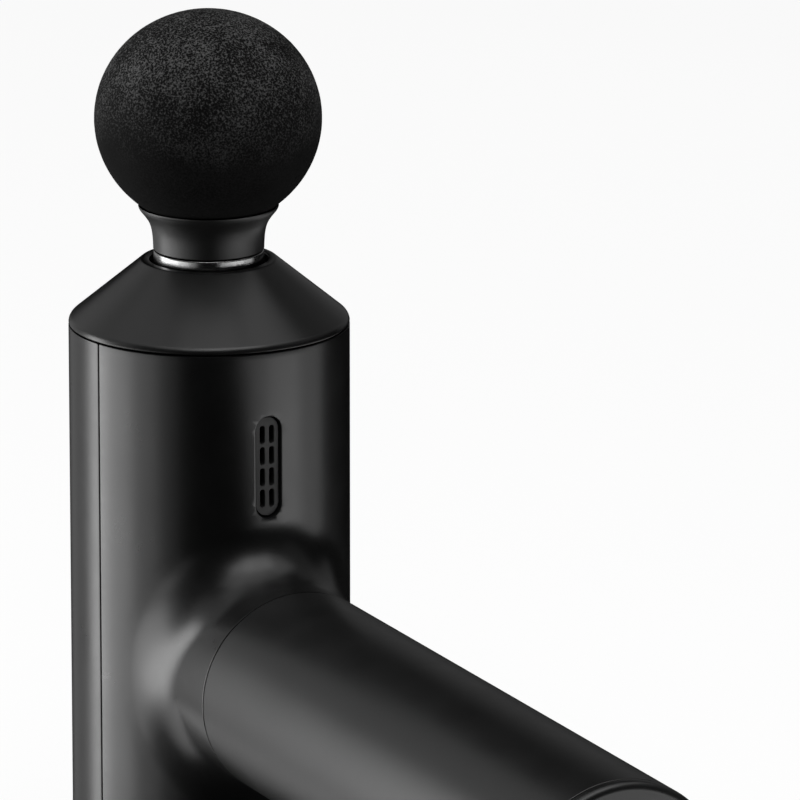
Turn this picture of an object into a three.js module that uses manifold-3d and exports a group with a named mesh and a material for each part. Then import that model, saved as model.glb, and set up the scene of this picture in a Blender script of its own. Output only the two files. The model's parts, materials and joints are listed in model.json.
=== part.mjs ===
// A massage gun: a straight round barrel with a foam ball head on top, and a round handle at right angles.
// Millimetres. The origin is the centre of the barrel's flat tail face.
// +Z runs up the barrel to the ball head, and +X runs along the handle. The left and right halves mirror in Y.
import * as THREE from "three";
import { mergeVertices } from "three/addons/utils/BufferGeometryUtils.js";
import Module from "manifold-3d";

const wasm = await Module();
wasm.setup();

// ---- Driving dimensions ----

const GAP = 0.3; // clearance between pieces that touch
const SEAM = GAP / 2; // half of a parting line

const BARREL_R = 30;
const WALL = 2.4;
const BARREL_BORE_R = BARREL_R - WALL;
const TAIL_SEAM_Z = 8;
const NOSE_SEAM_Z = 125;
const PARTING_ANGLE = THREE.MathUtils.degToRad(76); // of the two long seams, from the handle's direction

const NOSE_TOP_Z = 138.95;
const NOSE_RIM_R = 14.4;
const NOSE_BORE_R = 12.7;
const NOSE_EDGE_ROUND = 2;
const NOSE_EDGE_R = 29.28; // the cone's flank starts here, above the rounded edge
const NOSE_EDGE_Z = 126.65;
const NOSE_WALL = 2.5;
const BOSS_RING_R = 25; // bore of the nose cone's spigot
const SPIGOT_R = BARREL_BORE_R - GAP;

const HANDLE_Z = 54;
const HANDLE_R = 22.1;
const HANDLE_BORE_R = 20.1;
const ROOT_X = 44; // the front shell's handle root ends here, at the ring seam
const ROOT_STEP_R = 18.6; // the bore narrows here to the spigot that carries the grip tube
const SPIGOT_END_X = 48;
const GRIP_START_X = 44.4;
const GRIP_END_X = 192.6;
const HANDLE_END_X = 195.5;
const END_ROUND = 1.6;
const FILLET_ON_BARREL = 12;
const FILLET_ON_ROOT = 12;
const FILLET_EXTRA_AT_SIDES = 4; // the fillet runs further out where the barrel curves away
const FILLET_PULL = 0.62; // share of its length over which the fillet leaves each surface

const STROKE = 12;
const CRANK_THROW = STROKE / 2;
const ROD_LENGTH = 55;
const CRANK_PIN_Z = HANDLE_Z - CRANK_THROW;
const WRIST_Z = CRANK_PIN_Z + ROD_LENGTH;
const ROD_HALF_THICK = 3;
const SHAFT_R = 11.8;
const SHAFT_BOTTOM_Z = 96;
const SHAFT_TOP_Z = 140.9;
const SOCKET_R = 7.4;
const SOCKET_FLOOR_Z = 121.5;
const WRIST_PIN_R = 3;

const STEM_R = 6.9;
const COLLAR_Z = 141.2;
const BALL_Z = 169.5;
const BALL_RADIUS = 24.2;
const BALL_HALF_HEIGHT = 23.2;
const CORE_R = 8;
const CORE_TOP_Z = 165;

const SCREW_CIRCLE_R = 22.5;
const BRACKET_FRONT = 11; // along the handle's axis
const BRACKET_SCREWS = [[18.5, 14.5], [-18.5, 14.5], [-18.5, -14.5], [18.5, -14.5]];

const VENT_Z = 100;
const VENT_WIDE = 6;
const VENT_TALL = 22.2;
const VENT_RECESS = 1;

const ROTOR_R = 18;
const CELL_R = 9.1;
const CELL_LENGTH = 65;
const CELL_CIRCLE_R = 10.75;
const FRONT_CELLS_X = 52;
const REAR_CELLS_X = 119.3;
const CABLE_R = 0.7;

// ---- Materials ----

function material(color, roughness, metalness = 0) {
  return new THREE.MeshStandardMaterial({ color, roughness, metalness });
}

const foam = material("#141414", 0.95);
const satinShell = material("#303134", 0.42);
const satinHandle = material("#37383c", 0.5);
const collarPlastic = material("#1b1b1c", 0.35);
const frosted = material("#d8dade", 0.45);
const capacitorSleeve = material("#0c0c10", 0.25);
const innerPlastic = material("#26262a", 0.6);
const polishedSteel = material("#c9cbcf", 0.15, 1);
const steel = material("#8f9297", 0.35, 1);
const castAlloy = material("#9a9da1", 0.5, 1);
const magnetSteel = material("#55585c", 0.4, 1);
const bronze = material("#b08d57", 0.4, 1);
const rubber = material("#101010", 0.9);
const circuitGreen = material("#1c5a38", 0.6);
const cellWrap = material("#2b6fa8", 0.45);
const nickel = material("#b9b6ae", 0.3, 1);

// ---- Solids and outlines ----

// A closed geometry as a solid that can be joined and cut.
function solid(geometry) {
  const bare = geometry.clone();
  bare.deleteAttribute("normal");
  bare.deleteAttribute("uv");
  const merged = mergeVertices(bare, 1e-4);
  const corners = merged.index.array;
  const kept = [];
  for (let i = 0; i < corners.length; i += 3) {
    const [a, b, c] = corners.slice(i, i + 3);
    if (a !== b && b !== c && c !== a) kept.push(a, b, c);
  }
  const mesh = new wasm.Mesh({
    numProp: 3,
    vertProperties: merged.attributes.position.array,
    triVerts: new Uint32Array(kept),
  });
  return new wasm.Manifold(mesh);
}

// A solid's surface as a geometry.
function surface(body) {
  const mesh = body.getMesh();
  const geometry = new THREE.BufferGeometry();
  geometry.setAttribute("position", new THREE.BufferAttribute(mesh.vertProperties, 3));
  geometry.setIndex(new THREE.BufferAttribute(mesh.triVerts, 1));
  geometry.computeVertexNormals();
  return geometry;
}

function join(...geometries) {
  return surface(geometries.map(solid).reduce((sum, next) => sum.add(next)));
}

function cut(geometry, ...tools) {
  return surface(tools.map(solid).reduce((rest, tool) => rest.subtract(tool), solid(geometry)));
}

function common(first, second) {
  return surface(solid(first).intersect(solid(second)));
}

// A profile of [radius, z] points turned about Z. It starts and ends on the axis, or closes on itself.
function turned(profile, segments = 24) {
  const onAxis = profile[0][0] === 0 && profile.at(-1)[0] === 0;
  const loop = onAxis ? profile : [...profile, profile[0]];
  const twiceArea = loop.reduce((sum, [r, z], i) => {
    const [nextR, nextZ] = loop[(i + 1) % loop.length];
    return sum + r * nextZ - nextR * z;
  }, 0);
  const ordered = twiceArea > 0 ? loop : [...loop].reverse();
  const points = ordered.map(([r, z]) => new THREE.Vector2(r, z));
  return new THREE.LatheGeometry(points, segments).rotateX(Math.PI / 2);
}

// Points of an arc in a profile, angles in degrees from the outward direction towards +Z.
function arc(centreR, centreZ, radiusR, radiusZ, from, to, steps) {
  return Array.from({ length: steps + 1 }, (_, i) => {
    const angle = THREE.MathUtils.degToRad(from + ((to - from) * i) / steps);
    return [centreR + radiusR * Math.cos(angle), centreZ + radiusZ * Math.sin(angle)];
  });
}

function ring(innerR, outerR, z0, z1, segments) {
  return turned([[innerR, z0], [outerR, z0], [outerR, z1], [innerR, z1]], segments);
}

function cylinder(radius, z0, z1, segments) {
  return turned([[0, z0], [radius, z0], [radius, z1], [0, z1]], segments);
}

function box(x0, x1, y0, y1, z0, z1) {
  const geometry = new THREE.BoxGeometry(x1 - x0, y1 - y0, z1 - z0);
  return geometry.translate((x0 + x1) / 2, (y0 + y1) / 2, (z0 + z1) / 2);
}

function extruded(shape, z0, z1, curveSegments = 8) {
  const options = { depth: z1 - z0, bevelEnabled: false, curveSegments };
  return new THREE.ExtrudeGeometry(shape, options).translate(0, 0, z0);
}

// A pill outline, centred on (x, y) and longest along y, or a hole of that shape.
function pill(width, height, x = 0, y = 0, outline = new THREE.Shape()) {
  const r = width / 2;
  const straight = height / 2 - r;
  outline.moveTo(x + r, y - straight);
  outline.lineTo(x + r, y + straight);
  outline.absarc(x, y + straight, r, 0, Math.PI, false);
  outline.lineTo(x - r, y - straight);
  outline.absarc(x, y - straight, r, Math.PI, 2 * Math.PI, false);
  return outline;
}

// Turns a geometry from local Z to run along +X, at the handle's height: (x, y, z) goes to (z, y, -x).
function onHandleAxis(geometry) {
  return geometry.rotateY(Math.PI / 2).translate(0, 0, HANDLE_Z);
}

// Turns an outline drawn upright in (x, y) to stand in the (Y, Z) plane, with its depth along +X.
const FACING_FRONT = new THREE.Matrix4().makeBasis(
  new THREE.Vector3(0, 1, 0),
  new THREE.Vector3(0, 0, 1),
  new THREE.Vector3(1, 0, 0),
);

// A round cable along a smooth curve through the points.
function cable(points, steps) {
  const section = new THREE.Shape().absarc(0, 0, CABLE_R, 0, 2 * Math.PI, false);
  const path = new THREE.CatmullRomCurve3(points.map((p) => new THREE.Vector3(...p)));
  return new THREE.ExtrudeGeometry(section, { steps, curveSegments: 4, extrudePath: path, bevelEnabled: false });
}

// ---- The assembly ----

const gun = new THREE.Group();
const handle = new THREE.Group(); // local Z runs along the handle and the motor's axis
handle.rotation.y = Math.PI / 2;
handle.position.z = HANDLE_Z;
gun.add(handle);

function part(name, geometry, look, parent = gun) {
  const mesh = new THREE.Mesh(geometry, look);
  mesh.name = name;
  parent.add(mesh);
  return mesh;
}

// ---- Massage head: foam ball on a plug-in adapter ----

function ballHead() {
  const boreR = CORE_R + GAP;
  const lowest = -THREE.MathUtils.radToDeg(Math.acos(boreR / BALL_RADIUS));
  return turned([
    [0, CORE_TOP_Z + GAP],
    [boreR, CORE_TOP_Z + GAP],
    ...arc(0, BALL_Z, BALL_RADIUS, BALL_HALF_HEIGHT, lowest, 90, 10).slice(0, -1),
    [0, BALL_Z + BALL_HALF_HEIGHT],
  ], 28);
}

const O_RING_Z = [127.5, 134.5];
const O_RING_R = 6.4;
const O_RING_WIRE_R = 0.75;

function headAdapter() {
  const grooves = O_RING_Z.flatMap((z) => {
    const half = O_RING_WIRE_R + GAP;
    const floor = O_RING_R - O_RING_WIRE_R - GAP;
    return [[STEM_R, z - half], [floor, z - half], [floor, z + half], [STEM_R, z + half]];
  });
  const lipR = 14.6;
  const dishFrom = -THREE.MathUtils.radToDeg(Math.acos(lipR / (BALL_RADIUS + GAP)));
  const dishTo = -THREE.MathUtils.radToDeg(Math.acos(CORE_R / (BALL_RADIUS + GAP)));
  return turned([
    [0, SOCKET_FLOOR_Z + 1.3],
    [STEM_R, SOCKET_FLOOR_Z + 1.3],
    ...grooves,
    [STEM_R, COLLAR_Z],
    [11.83, COLLAR_Z],
    [11.92, COLLAR_Z + 2],
    [12.3, COLLAR_Z + 4.7],
    [12.8, COLLAR_Z + 6],
    [13.8, COLLAR_Z + 7.4],
    [14.97, COLLAR_Z + 9.2],
    [14.97, COLLAR_Z + 9.6],
    ...arc(0, BALL_Z, BALL_RADIUS + GAP, BALL_HALF_HEIGHT + GAP, dishFrom, dishTo, 2),
    [CORE_R, CORE_TOP_Z],
    [0, CORE_TOP_Z],
  ], 24);
}

part("ball_head", ballHead(), foam);
part("head_adapter", headAdapter(), collarPlastic);
for (const [i, name] of ["o_ring_lower", "o_ring_upper"].entries()) {
  const mesh = part(name, new THREE.TorusGeometry(O_RING_R, O_RING_WIRE_R, 5, 16), rubber);
  mesh.position.z = O_RING_Z[i];
}

// ---- Drive: shaft, wrist pin and connecting rod ----

function driveShaft() {
  const body = turned([
    [0, SHAFT_BOTTOM_Z],
    [SHAFT_R - 0.5, SHAFT_BOTTOM_Z],
    [SHAFT_R, SHAFT_BOTTOM_Z + 0.5],
    [SHAFT_R, SHAFT_TOP_Z - 0.4],
    [SHAFT_R - 0.4, SHAFT_TOP_Z],
    [SOCKET_R, SHAFT_TOP_Z],
    [SOCKET_R, SOCKET_FLOOR_Z],
    [0, SOCKET_FLOOR_Z],
  ]);
  const forkHalf = ROD_HALF_THICK + 0.5;
  const fork = box(-forkHalf, forkHalf, -20, 20, SHAFT_BOTTOM_Z - 5, WRIST_Z + 9);
  const pinBore = cylinder(WRIST_PIN_R + GAP, -20, 20, 20).rotateY(Math.PI / 2).translate(0, 0, WRIST_Z);
  return cut(body, fork, pinBore);
}

function connectingRod() {
  const half = ROD_HALF_THICK;
  const bigEnd = cylinder(8, -half, half, 28).translate(CRANK_THROW, 0, 0);
  const smallEndX = CRANK_THROW - ROD_LENGTH;
  const smallEnd = cylinder(6.3, -half, half, 24).translate(smallEndX, 0, 0);
  const beam = box(smallEndX, CRANK_THROW, -3.5, 3.5, -half, half);
  const bearingSeat = cylinder(5.6, -10, 10, 28).translate(CRANK_THROW, 0, 0);
  const pinBore = cylinder(WRIST_PIN_R + GAP, -10, 10, 20).translate(smallEndX, 0, 0);
  return cut(join(bigEnd, smallEnd, beam), bearingSeat, pinBore);
}

part("drive_shaft", driveShaft(), polishedSteel);
const wristPin = part("wrist_pin", cylinder(WRIST_PIN_R, -11, 11, 20), steel);
wristPin.rotation.y = Math.PI / 2;
wristPin.position.z = WRIST_Z;
part("connecting_rod", connectingRod(), castAlloy, handle);
const rodBearing = part("rod_bearing", ring(3.4, 5.3, -2.7, 2.7, 24), steel, handle);
rodBearing.position.x = CRANK_THROW;

// ---- Crank and outrunner motor, on the handle's axis ----

const CRANK_FRONT = 4.6;
const CRANK_BACK = 10;
const MOTOR_SHAFT_R = 2.5;
const SHAFT_BORE_R = MOTOR_SHAFT_R + GAP;

function crankDisc() {
  const disc = cylinder(9, CRANK_FRONT, CRANK_BACK, 32);
  const lobe = new THREE.Shape();
  lobe.moveTo(0, 0);
  lobe.absarc(0, 0, 17, (2 * Math.PI) / 3, (4 * Math.PI) / 3, false);
  const weight = extruded(lobe, CRANK_FRONT, CRANK_BACK, 14);
  const pin = cylinder(3, ROD_HALF_THICK + GAP, CRANK_FRONT + 1, 20).translate(CRANK_THROW, 0, 0);
  const bore = cylinder(SHAFT_BORE_R, CRANK_FRONT + 1, 20, 16);
  return cut(join(disc, weight, pin), bore);
}

function rotorBell() {
  return turned([
    [SHAFT_BORE_R, 15.2],
    [5, 15.2],
    [5, 16],
    [ROTOR_R - 0.8, 16],
    [ROTOR_R, 16.8],
    [ROTOR_R, 36],
    [ROTOR_R - 1.5, 36],
    [ROTOR_R - 1.5, 17.5],
    [SHAFT_BORE_R, 17.5],
  ]);
}

// A laminated stator: nine teeth with wide tips around a hub.
function stator() {
  const teeth = 9;
  const outline = new THREE.Shape();
  const at = (radius, degrees) => {
    const angle = THREE.MathUtils.degToRad(degrees);
    return [radius * Math.cos(angle), radius * Math.sin(angle)];
  };
  const tooth = [[8, -12], [12.8, -5], [12.8, -16], [14.4, -16], [14.6, 0], [14.4, 16], [12.8, 16], [12.8, 5], [8, 12]];
  for (let i = 0; i < teeth; i++) {
    for (const [radius, degrees] of tooth) {
      const point = at(radius, degrees + (360 * i) / teeth);
      if (i === 0 && radius === 8 && degrees < 0) outline.moveTo(...point);
      else outline.lineTo(...point);
    }
  }
  outline.closePath();
  outline.holes.push(new THREE.Path().absarc(0, 0, 5.2, 0, 2 * Math.PI, false));
  return extruded(outline, 20, 33, 10);
}

const LEAD_Y = 3;

function motorBase() {
  const body = turned([
    [SHAFT_BORE_R, 19],
    [4.9, 19],
    [4.9, 37],
    [19.6, 37],
    [19.6, 41.5],
    [5.3, 41.5],
    [5.3, 38.6],
    [SHAFT_BORE_R, 38.6],
  ]);
  const leadNotch = box(14.5, 21, -LEAD_Y - 1.6, -LEAD_Y + 1.6, 36, 42);
  return cut(body, leadNotch);
}

function driveBracket() {
  const outline = new THREE.Shape();
  const halfZ = 24;
  const halfY = 22;
  const corner = 5;
  const corners = [[1, 1, 0], [-1, 1, 90], [-1, -1, 180], [1, -1, 270]];
  for (const [sx, sy, degrees] of corners) {
    const from = THREE.MathUtils.degToRad(degrees);
    outline.absarc(sx * (halfZ - corner), sy * (halfY - corner), corner, from, from + Math.PI / 2, false);
  }
  outline.holes.push(new THREE.Path().absarc(0, 0, 6.3, 0, 2 * Math.PI, false));
  for (const [x, y] of BRACKET_SCREWS) {
    const hole = new THREE.Path();
    hole.absarc(x, y, 1.8, 0, 2 * Math.PI, false);
    outline.holes.push(hole);
  }
  return extruded(outline, BRACKET_FRONT, BRACKET_FRONT + 3.5, 7);
}

// A pan-head screw: head up to z = 0 and shank above it.
function screw(headR, headHeight, shankR, length) {
  return turned([
    [0, -headHeight],
    [headR, -headHeight],
    [headR, 0],
    [shankR, 0],
    [shankR, length],
    [0, length],
  ], 10);
}

part("crank_disc", crankDisc(), castAlloy, handle);
part("motor_shaft", cylinder(MOTOR_SHAFT_R, 5.9, 41, 16), steel, handle);
part("motor_rotor", rotorBell(), castAlloy, handle);
part("rotor_magnets", ring(15, 16.2, 18.5, 34, 32), magnetSteel, handle);
part("motor_stator", stator(), magnetSteel, handle);
part("motor_base", motorBase(), castAlloy, handle);
part("front_bearing", ring(SHAFT_BORE_R, 6, 11.2, 14.3, 24), steel, handle);
part("rear_bearing", ring(SHAFT_BORE_R, 5, 38.9, 41.2, 24), steel, handle);
part("drive_bracket", driveBracket(), castAlloy, handle);
for (const [i, [x, y]] of BRACKET_SCREWS.entries()) {
  const mesh = part(`bracket_screw_${i + 1}`, screw(2.6, 2, 1.4, 12), steel, handle);
  mesh.position.set(x, y, BRACKET_FRONT - GAP);
}

// ---- Shaft guide in the nose ----

const FLANGE_BOTTOM_Z = 115.5;
const FLANGE_TOP_Z = 118.5;
const SCREW_ANGLES = [45, 135, 225, 315].map(THREE.MathUtils.degToRad);

function onScrewCircle(geometry, angle) {
  return geometry.translate(SCREW_CIRCLE_R * Math.cos(angle), SCREW_CIRCLE_R * Math.sin(angle), 0);
}

function guideHousing() {
  const body = turned([
    [15.3, 110.5],
    [17.5, 110.5],
    [17.5, FLANGE_BOTTOM_Z],
    [26.8, FLANGE_BOTTOM_Z],
    [26.8, FLANGE_TOP_Z],
    [17.5, FLANGE_TOP_Z],
    [17.5, 130.5],
    [15.3, 130.5],
  ]);
  const holes = SCREW_ANGLES.map((angle) => onScrewCircle(cylinder(1.8, 110, 125, 10), angle));
  return cut(body, ...holes);
}

part("guide_housing", guideHousing(), castAlloy);
part("guide_bush", ring(SHAFT_R + GAP, 15, 110.8, 130.2), bronze);
part("shaft_seal", ring(SHAFT_R + GAP, 14.9, 131.3, 134.6), rubber);
for (const [i, angle] of SCREW_ANGLES.entries()) {
  const mesh = part(`guide_screw_${i + 1}`, screw(2.7, 2.2, 1.4, 10.3), steel);
  mesh.position.set(SCREW_CIRCLE_R * Math.cos(angle), SCREW_CIRCLE_R * Math.sin(angle), FLANGE_BOTTOM_Z - GAP);
}

// ---- Nose cone ----

function noseCone() {
  const slope = (NOSE_EDGE_R - NOSE_RIM_R) / (NOSE_TOP_Z - NOSE_EDGE_Z); // radius lost per millimetre of height
  const steepness = THREE.MathUtils.radToDeg(Math.atan(slope));
  const wallAcross = NOSE_WALL * Math.hypot(1, slope);
  const innerR = (z) => NOSE_RIM_R - wallAcross + (NOSE_TOP_Z - z) * slope;
  const bottomZ = NOSE_SEAM_Z + SEAM;
  const body = turned([
    [BOSS_RING_R, 120.5],
    [SPIGOT_R, 120.5],
    [SPIGOT_R, bottomZ],
    ...arc(BARREL_R - NOSE_EDGE_ROUND, bottomZ, NOSE_EDGE_ROUND, NOSE_EDGE_ROUND, 0, steepness, 3),
    [NOSE_RIM_R, NOSE_TOP_Z],
    [NOSE_BORE_R + 0.3, NOSE_TOP_Z],
    [NOSE_BORE_R, NOSE_TOP_Z - 0.3],
    [NOSE_BORE_R, 135.5],
    [innerR(135.5), 135.5],
    [innerR(127), 127],
    [BOSS_RING_R, 126.8],
  ], 48);
  const bosses = SCREW_ANGLES.map((angle) => onScrewCircle(cylinder(3.2, FLANGE_TOP_Z + GAP, 128.5, 12), angle));
  const bores = SCREW_ANGLES.map((angle) => onScrewCircle(cylinder(1.7, 110, 126.3, 10), angle));
  return cut(join(body, ...bosses), ...bores);
}

part("nose_cone", noseCone(), satinShell);

// ---- Barrel shells with the filleted handle root ----

// The soft fillet between barrel and handle root, as a closed band around the handle's axis.
// Each section runs along a curve from the root to the barrel, and back inside both walls.
function rootFillet(around = 36, across = 4) {
  const inside = 1.4;
  const sections = [];
  for (let i = 0; i < around; i++) {
    const angle = (2 * Math.PI * i) / around;
    const [c, s] = [Math.cos(angle), Math.sin(angle)];
    const footAngle = Math.asin((HANDLE_R * c) / BARREL_R);
    const footX = BARREL_R * Math.cos(footAngle);
    // The footprint's outward direction on the barrel's unrolled surface.
    const normal = new THREE.Vector2(c * Math.cos(footAngle), s).normalize();
    const edgeAngle = footAngle + (FILLET_ON_BARREL * normal.x) / BARREL_R;
    const edgeZ = HANDLE_Z + HANDLE_R * s + FILLET_ON_BARREL * normal.y;
    const rootX = footX + FILLET_ON_ROOT + FILLET_EXTRA_AT_SIDES * c * c;
    const onRoot = new THREE.Vector3(rootX, HANDLE_R * c, HANDLE_Z + HANDLE_R * s);
    const onBarrel = new THREE.Vector3(BARREL_R * Math.cos(edgeAngle), BARREL_R * Math.sin(edgeAngle), edgeZ);
    const rootPull = new THREE.Vector3(-FILLET_PULL * (rootX - footX), 0, 0).add(onRoot);
    const barrelPull = new THREE.Vector3(
      Math.sin(edgeAngle) * normal.x,
      -Math.cos(edgeAngle) * normal.x,
      -normal.y,
    ).multiplyScalar(FILLET_PULL * FILLET_ON_BARREL).add(onBarrel);
    const curve = new THREE.CubicBezierCurve3(onRoot, rootPull, barrelPull, onBarrel);
    const innerR = BARREL_R - inside;
    const innerY = (HANDLE_R - inside) * c;
    sections.push([
      ...curve.getPoints(across),
      new THREE.Vector3(innerR * Math.cos(edgeAngle), innerR * Math.sin(edgeAngle), edgeZ),
      new THREE.Vector3(Math.sqrt(innerR ** 2 - innerY ** 2), innerY, HANDLE_Z + (HANDLE_R - inside) * s),
      new THREE.Vector3(rootX, innerY, HANDLE_Z + (HANDLE_R - inside) * s),
    ]);
  }
  return band(sections);
}

// Closed sections, each a loop of points, joined into a closed band.
function band(sections) {
  const count = sections[0].length;
  const positions = sections.flat().flatMap((p) => [p.x, p.y, p.z]);
  const faces = [];
  for (let i = 0; i < sections.length; i++) {
    const here = i * count;
    const next = ((i + 1) % sections.length) * count;
    for (let j = 0; j < count; j++) {
      const k = (j + 1) % count;
      faces.push(here + j, here + k, next + j, here + k, next + k, next + j);
    }
  }
  const geometry = new THREE.BufferGeometry();
  geometry.setAttribute("position", new THREE.Float32BufferAttribute(positions, 3));
  geometry.setIndex(faces);
  return geometry;
}

// The wedge of the barrel that belongs to the front shell, its tip moved along X.
function frontWedge(shift) {
  const reach = 80;
  const outline = new THREE.Shape();
  outline.moveTo(shift, 0);
  outline.lineTo(shift + reach * Math.cos(PARTING_ANGLE), -reach * Math.sin(PARTING_ANGLE));
  outline.lineTo(reach, -reach);
  outline.lineTo(reach, reach);
  outline.lineTo(shift + reach * Math.cos(PARTING_ANGLE), reach * Math.sin(PARTING_ANGLE));
  return extruded(outline, 0, 140);
}

function barrelShells() {
  const bottomZ = TAIL_SEAM_Z + SEAM;
  const topZ = NOSE_SEAM_Z - SEAM;
  const root = onHandleAxis(turned([[0, 0], [HANDLE_R, 0], [HANDLE_R, ROOT_X], [0, ROOT_X]], 36));
  const spigot = onHandleAxis(ring(ROOT_STEP_R, HANDLE_BORE_R - GAP, ROOT_X - 0.6, SPIGOT_END_X, 36));
  const outer = join(cylinder(BARREL_R, bottomZ, topZ, 48), root, rootFillet());
  const barrelBore = cylinder(BARREL_BORE_R, 0, 140, 48);
  const rootBore = onHandleAxis(turned([
    [0, 10],
    [HANDLE_BORE_R, 10],
    [HANDLE_BORE_R, ROOT_X - 1.2],
    [ROOT_STEP_R, ROOT_X - 1.2],
    [ROOT_STEP_R, 60],
    [0, 60],
  ], 36));
  const hollow = cut(outer, barrelBore, rootBore);
  const shift = SEAM / Math.sin(PARTING_ANGLE);
  const ventHole = extruded(pill(VENT_WIDE, VENT_TALL), 20, 40, 8);
  ventHole.applyMatrix4(FACING_FRONT).translate(0, 0, VENT_Z);
  const bosses = BRACKET_SCREWS.map(([x, y]) => onHandleAxis(cylinder(3, 14.8, 24.5, 12).translate(x, y, 0)));
  const bores = BRACKET_SCREWS.map(([x, y]) => onHandleAxis(cylinder(1.7, 10, 23.2, 10).translate(x, y, 0)));
  const front = cut(join(common(hollow, frontWedge(shift)), spigot, ...bosses), ventHole, ...bores);
  const rear = cut(hollow, frontWedge(-shift));
  return { front, rear };
}

const shells = barrelShells();
part("front_shell", shells.front, satinShell);
part("rear_shell", shells.rear, satinShell);

// ---- Vent grille with two columns of slots ----

function ventGrille() {
  const slots = [];
  for (const column of [-1, 1]) {
    for (const row of [-1.5, -0.5, 0.5, 1.5]) {
      slots.push(pill(1.05, 3.85, column * 1.07, row * 4.64, new THREE.Path()));
    }
  }
  const face = pill(VENT_WIDE - 2 * GAP, VENT_TALL - 2 * GAP);
  const flange = pill(VENT_WIDE + 3, VENT_TALL + 3);
  face.holes.push(...slots);
  flange.holes.push(...slots);
  return join(extruded(face, 26.5, BARREL_R - VENT_RECESS, 3), extruded(flange, 25.5, 26.7, 3));
}

const grille = part("vent_grille", ventGrille(), innerPlastic);
grille.quaternion.setFromRotationMatrix(FACING_FRONT);
grille.position.z = VENT_Z;

// ---- Cooling fan behind the vent ----

const FAN_X = 15;
const FAN_DEPTH = 7.8;
const FAN_HALF = 10;
const FAN_Z = 98;

function fanFrame() {
  const body = box(-FAN_HALF, FAN_HALF, -FAN_HALF, FAN_HALF, 0, FAN_DEPTH);
  const duct = cut(body, cylinder(9.2, -5, 20, 32));
  const hub = cylinder(3.6, FAN_DEPTH - 1.2, FAN_DEPTH, 20);
  const struts = [0, 120, 240].map((degrees) =>
    box(0, 9.6, -0.7, 0.7, FAN_DEPTH - 1.2, FAN_DEPTH).rotateZ(THREE.MathUtils.degToRad(degrees)));
  return join(duct, hub, ...struts);
}

function fanRotor() {
  const hub = cylinder(3.6, 0.4, FAN_DEPTH - 1.6, 20);
  const blades = Array.from({ length: 7 }, (_, i) =>
    box(2.5, 8.7, -0.35, 0.35, -2.6, 2.6)
      .rotateX(THREE.MathUtils.degToRad(38))
      .translate(0, 0, 3.3)
      .rotateZ((2 * Math.PI * i) / 7));
  return join(hub, ...blades);
}

for (const [name, geometry] of [["fan_frame", fanFrame()], ["fan_rotor", fanRotor()]]) {
  const mesh = part(name, geometry, innerPlastic);
  mesh.rotation.y = Math.PI / 2;
  mesh.position.set(FAN_X, 0, FAN_Z);
}

// ---- Tail: cap, light bar, button, switch and boards ----

const TAIL_PLATE = 4;
const BUTTON_R = 6;
const BUTTON_X = -13;
const LIGHT_BAR_R = 17;
const LIGHT_BAR_HALF = 1.2;
const LIGHT_BAR_ANGLE = THREE.MathUtils.degToRad(42); // each way from the handle's direction
const BOARD_THICK = 1.6;
const CONTROL_BOARD_Z = 10;

// A curved bar with round ends, its middle on the +X side of the tail.
function curvedBar(halfWidth, z0, z1) {
  const [inner, outer, end] = [LIGHT_BAR_R - halfWidth, LIGHT_BAR_R + halfWidth, LIGHT_BAR_ANGLE];
  const tip = [LIGHT_BAR_R * Math.cos(end), LIGHT_BAR_R * Math.sin(end)];
  const outline = new THREE.Shape();
  outline.absarc(0, 0, outer, -end, end, false);
  outline.absarc(tip[0], tip[1], halfWidth, end, end + Math.PI, false);
  outline.absarc(0, 0, inner, end, -end, true);
  outline.absarc(tip[0], -tip[1], halfWidth, Math.PI - end, 2 * Math.PI - end, false);
  return extruded(outline, z0, z1, 6);
}

function tailCap() {
  const body = turned([
    [0, 0],
    [27, 0],
    ...arc(27, 3, 3, 3, -90, 0, 3).slice(1),
    [BARREL_R, TAIL_SEAM_Z - SEAM],
    [SPIGOT_R, TAIL_SEAM_Z - SEAM],
    [SPIGOT_R, 12],
    [25.2, 12],
    [25.2, TAIL_PLATE],
    [0, TAIL_PLATE],
  ], 48);
  const posts = [0, 120, 240].map((degrees) => {
    const angle = THREE.MathUtils.degToRad(degrees);
    const post = cylinder(2, 3, CONTROL_BOARD_Z - GAP, 12);
    return post.translate(21 * Math.cos(angle), 21 * Math.sin(angle), 0);
  });
  const buttonHole = cylinder(BUTTON_R + 0.4, -1, 6).translate(BUTTON_X, 0, 0);
  return cut(join(body, ...posts), buttonHole, curvedBar(LIGHT_BAR_HALF + GAP, -1, 6));
}

function powerButton() {
  return turned([
    [0, 0.8],
    [BUTTON_R - 2, 0.6],
    [BUTTON_R - 0.4, 0.4],
    [BUTTON_R, 0.8],
    [BUTTON_R, TAIL_PLATE + GAP],
    [BUTTON_R + 1.6, TAIL_PLATE + GAP],
    [BUTTON_R + 1.6, 5.2],
    [2, 5.2],
    [2, 5.6],
    [0, 5.6],
  ]);
}

part("tail_cap", tailCap(), satinShell);
part("light_bar", curvedBar(LIGHT_BAR_HALF, GAP, TAIL_PLATE - 0.2), frosted);
part("power_button", powerButton(), collarPlastic).position.x = BUTTON_X;
const tactSwitch = join(box(-3, 3, -3, 3, 7.1, 9.7), cylinder(1.6, 6.6, 7.5, 16));
part("tact_switch", tactSwitch, innerPlastic).position.x = BUTTON_X;
part("control_board", cylinder(23, CONTROL_BOARD_Z, CONTROL_BOARD_Z + BOARD_THICK, 28), circuitGreen);
part("main_board", box(-21.6, -20, -16, 16, 22, 92), circuitGreen);
const capacitor = part("capacitor", cylinder(5, 0, 11), capacitorSleeve);
capacitor.rotation.y = Math.PI / 2;
capacitor.position.set(-20 + GAP, 8, 32);

// ---- Handle: grip, end cap, charging port and battery pack ----

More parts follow.
